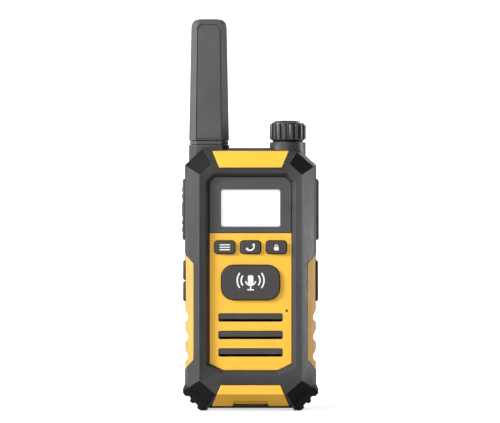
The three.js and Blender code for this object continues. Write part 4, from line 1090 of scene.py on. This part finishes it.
def grooveCutter(side):
    low, high = (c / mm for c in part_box("aerial_sleeve"))
    y, depth = (low.y + high.y) / 2, (high.y - low.y) / 2
    lean = (aerial["tipDepth"] / 2 - depth) / (high.z - aerial["tipLength"] - low.z)
    floorHalf, deep, out = aerial["grooveFloor"] / 2, aerial["grooveDeep"], aerial["reachOut"]
    mouthHalf = floorHalf + aerial["grooveFlare"] * (out + deep)
    rings = []
    for wider, proud in ((mouthHalf, out), (floorHalf, -deep), (-floorHalf, -deep), (-mouthHalf, out)):
        ring = []
        for x, z in panelLoop(wider):
            ring.append((x * mm, (y + side * (depth + lean * (z - low.z) + proud)) * mm, z * mm))
        rings.append(ring)
    return meshFrom("grooveCutter", *loft(rings, hoop=True))


def makeAerial():
    body = shapeHolder("aerialBody", cleanCopy("aerial_sleeve"))
    softenEdges(body, 0.5 * mm, 3, 16, harden=False)
    for side in (-1, 1):
        mesh = carved(body, shapeHolder("aerialGroove", grooveCutter(side)))
        body = shapeHolder("aerialBody", mesh)
    bpy.data.objects.remove(body)
    piece = addPiece("aerialSleeve", mesh, "case", slotOf("aerial_sleeve"), aerialRubber, "aerial_sleeve")
    flat = piece.modifiers.new("flatFaces", "WEIGHTED_NORMAL")
    flat.keep_sharp = True


makeAerial()


# black web of the keypad, seen in the gaps round the caps
web = {
    "lip": 0.65,  # the keys' hidden flange stands out from the cap by this
    "capGap": 0.06,
    "holeGap": 0.33,
    "depths": (0.3, 0.9),  # below the face plate's front
    "keyCorner": 1.1,
    "talkCorner": 5.0,
}


def roundBar(x, z, wide, high, radius, steps=8):
    corners = ((1, 1, 0), (-1, 1, 90), (-1, -1, 180), (1, -1, 270))
    points = []
    for sideX, sideZ, start in corners:
        for i in range(steps + 1):
            turn = math.radians(start + 90 * i / steps)
            cornerX, cornerZ = x + sideX * (wide / 2 - radius), z + sideZ * (high / 2 - radius)
            points.append((cornerX + radius * math.cos(turn), cornerZ + radius * math.sin(turn)))
    return points


def makeWeb():
    front, back = (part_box("face_plate")[0].y + depth * mm for depth in web["depths"])
    skins = []
    for key in ("menu_key", "call_key", "lock_key", "talk_button"):
        low, high = (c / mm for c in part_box(key))
        x, z = (low.x + high.x) / 2, (low.z + high.z) / 2
        wide, tall = high.x - low.x - 2 * web["lip"], high.z - low.z - 2 * web["lip"]
        corner = web["talkCorner"] if key == "talk_button" else web["keyCorner"]
        inner, outer = (
            roundBar(x, z, wide + 2 * gap, tall + 2 * gap, corner + gap)
            for gap in (web["capGap"], web["holeGap"])
        )
        rings = [upright(outer, front), upright(outer, back), upright(inner, back), upright(inner, front)]
        skins.append(loft(rings, hoop=True))
    addPiece("keypadWeb", meshFrom("keypadWeb", *joined(skins)), "case", "soft_rubber", blackRubber)


makeWeb()


# white marks on the keys, plain pictures instead of words
def arcBand(x, z, radius, thick, fromDegrees, toDegrees, steps=14):
    turns = [math.radians(fromDegrees + (toDegrees - fromDegrees) * i / steps) for i in range(steps + 1)]
    outer, inner = (
        [(x + reach * math.cos(turn), z + reach * math.sin(turn)) for turn in turns]
        for reach in (radius + thick / 2, radius - thick / 2)
    )
    return outer + inner[::-1]


def barShape(x, z, wide, high):
    return roundBar(x, z, wide, high, min(wide, high) * 0.3, 4)


def turned(outline, degrees):
    across, up = math.cos(math.radians(degrees)), math.sin(math.radians(degrees))
    return [(x * across - z * up, x * up + z * across) for x, z in outline]


marks = {
    "talk_button": [
        barShape(0, 1.15, 2.3, 3.9),
        arcBand(0, 0.95, 2.15, 0.55, 190, 350),
        barShape(0, -2.15, 0.55, 1.1),
        barShape(0, -3.05, 2.8, 0.55),
        arcBand(0.6, 0.9, 3.4, 0.62, -38, 38),
        arcBand(0.6, 0.9, 5.1, 0.62, -38, 38),
        arcBand(-0.6, 0.9, 3.4, 0.62, 142, 218),
        arcBand(-0.6, 0.9, 5.1, 0.62, 142, 218),
    ],
    "menu_key": [barShape(0, z, 4.4, 0.46) for z in (-1.05, 0, 1.05)],
    "call_key": [
        turned(arcBand(0, 0.55, 1.75, 0.62, 205, 335), 32),
        turned(barShape(-1.62, 0.15, 1.0, 1.05), 32),
        turned(barShape(1.62, 0.15, 1.0, 1.05), 32),
    ],
    "lock_key": [barShape(0, -0.55, 2.0, 1.55), arcBand(0, 0.36, 0.62, 0.34, 0, 180)],
}
ink = {"proud": 0.035, "sunk": 0.05}


def makeMarks():
    for key, outlines in marks.items():
        x, z = middle(key).x / mm, middle(key).z / mm
        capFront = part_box(key)[0].y
        front, back = capFront - ink["proud"] * mm, capFront + ink["sunk"] * mm
        skins = []
        for outline in outlines:
            placed = [(x + across, z + up) for across, up in outline]
            skins.append(loft([upright(placed, front), upright(placed, back)]))
        addPiece(key + "_mark", meshFrom(key + "_mark", *joined(skins)), key, slotOf(key), whiteInk)


makeMarks()


# nodes that keep their own shape
carriedOver = {
    "speaker_frame": keyPlastic,
    "speaker_cone": blackPaper,
    "microphone": blackPaper,
    "main_board": solderMask,
    "shield_can": nickelSteel,
    "jack_block": keyPlastic,
    "charge_socket": nickelSteel,
    "volume_control": nickelSteel,
    "volume_shaft": nickelSteel,
    "knob_seal": blackRubber,
    "aerial_stud": bareBrass,
    "door_pin": nickelSteel,
    "lower_contact": nickelSteel,
    "upper_contact": nickelSteel,
    "clip_pin": nickelSteel,
}
for node, material in carriedOver.items():
    mesh = frame["nodes"][node].data
    mesh.materials.clear()
    mesh.materials.append(material)
print("pieces ready")
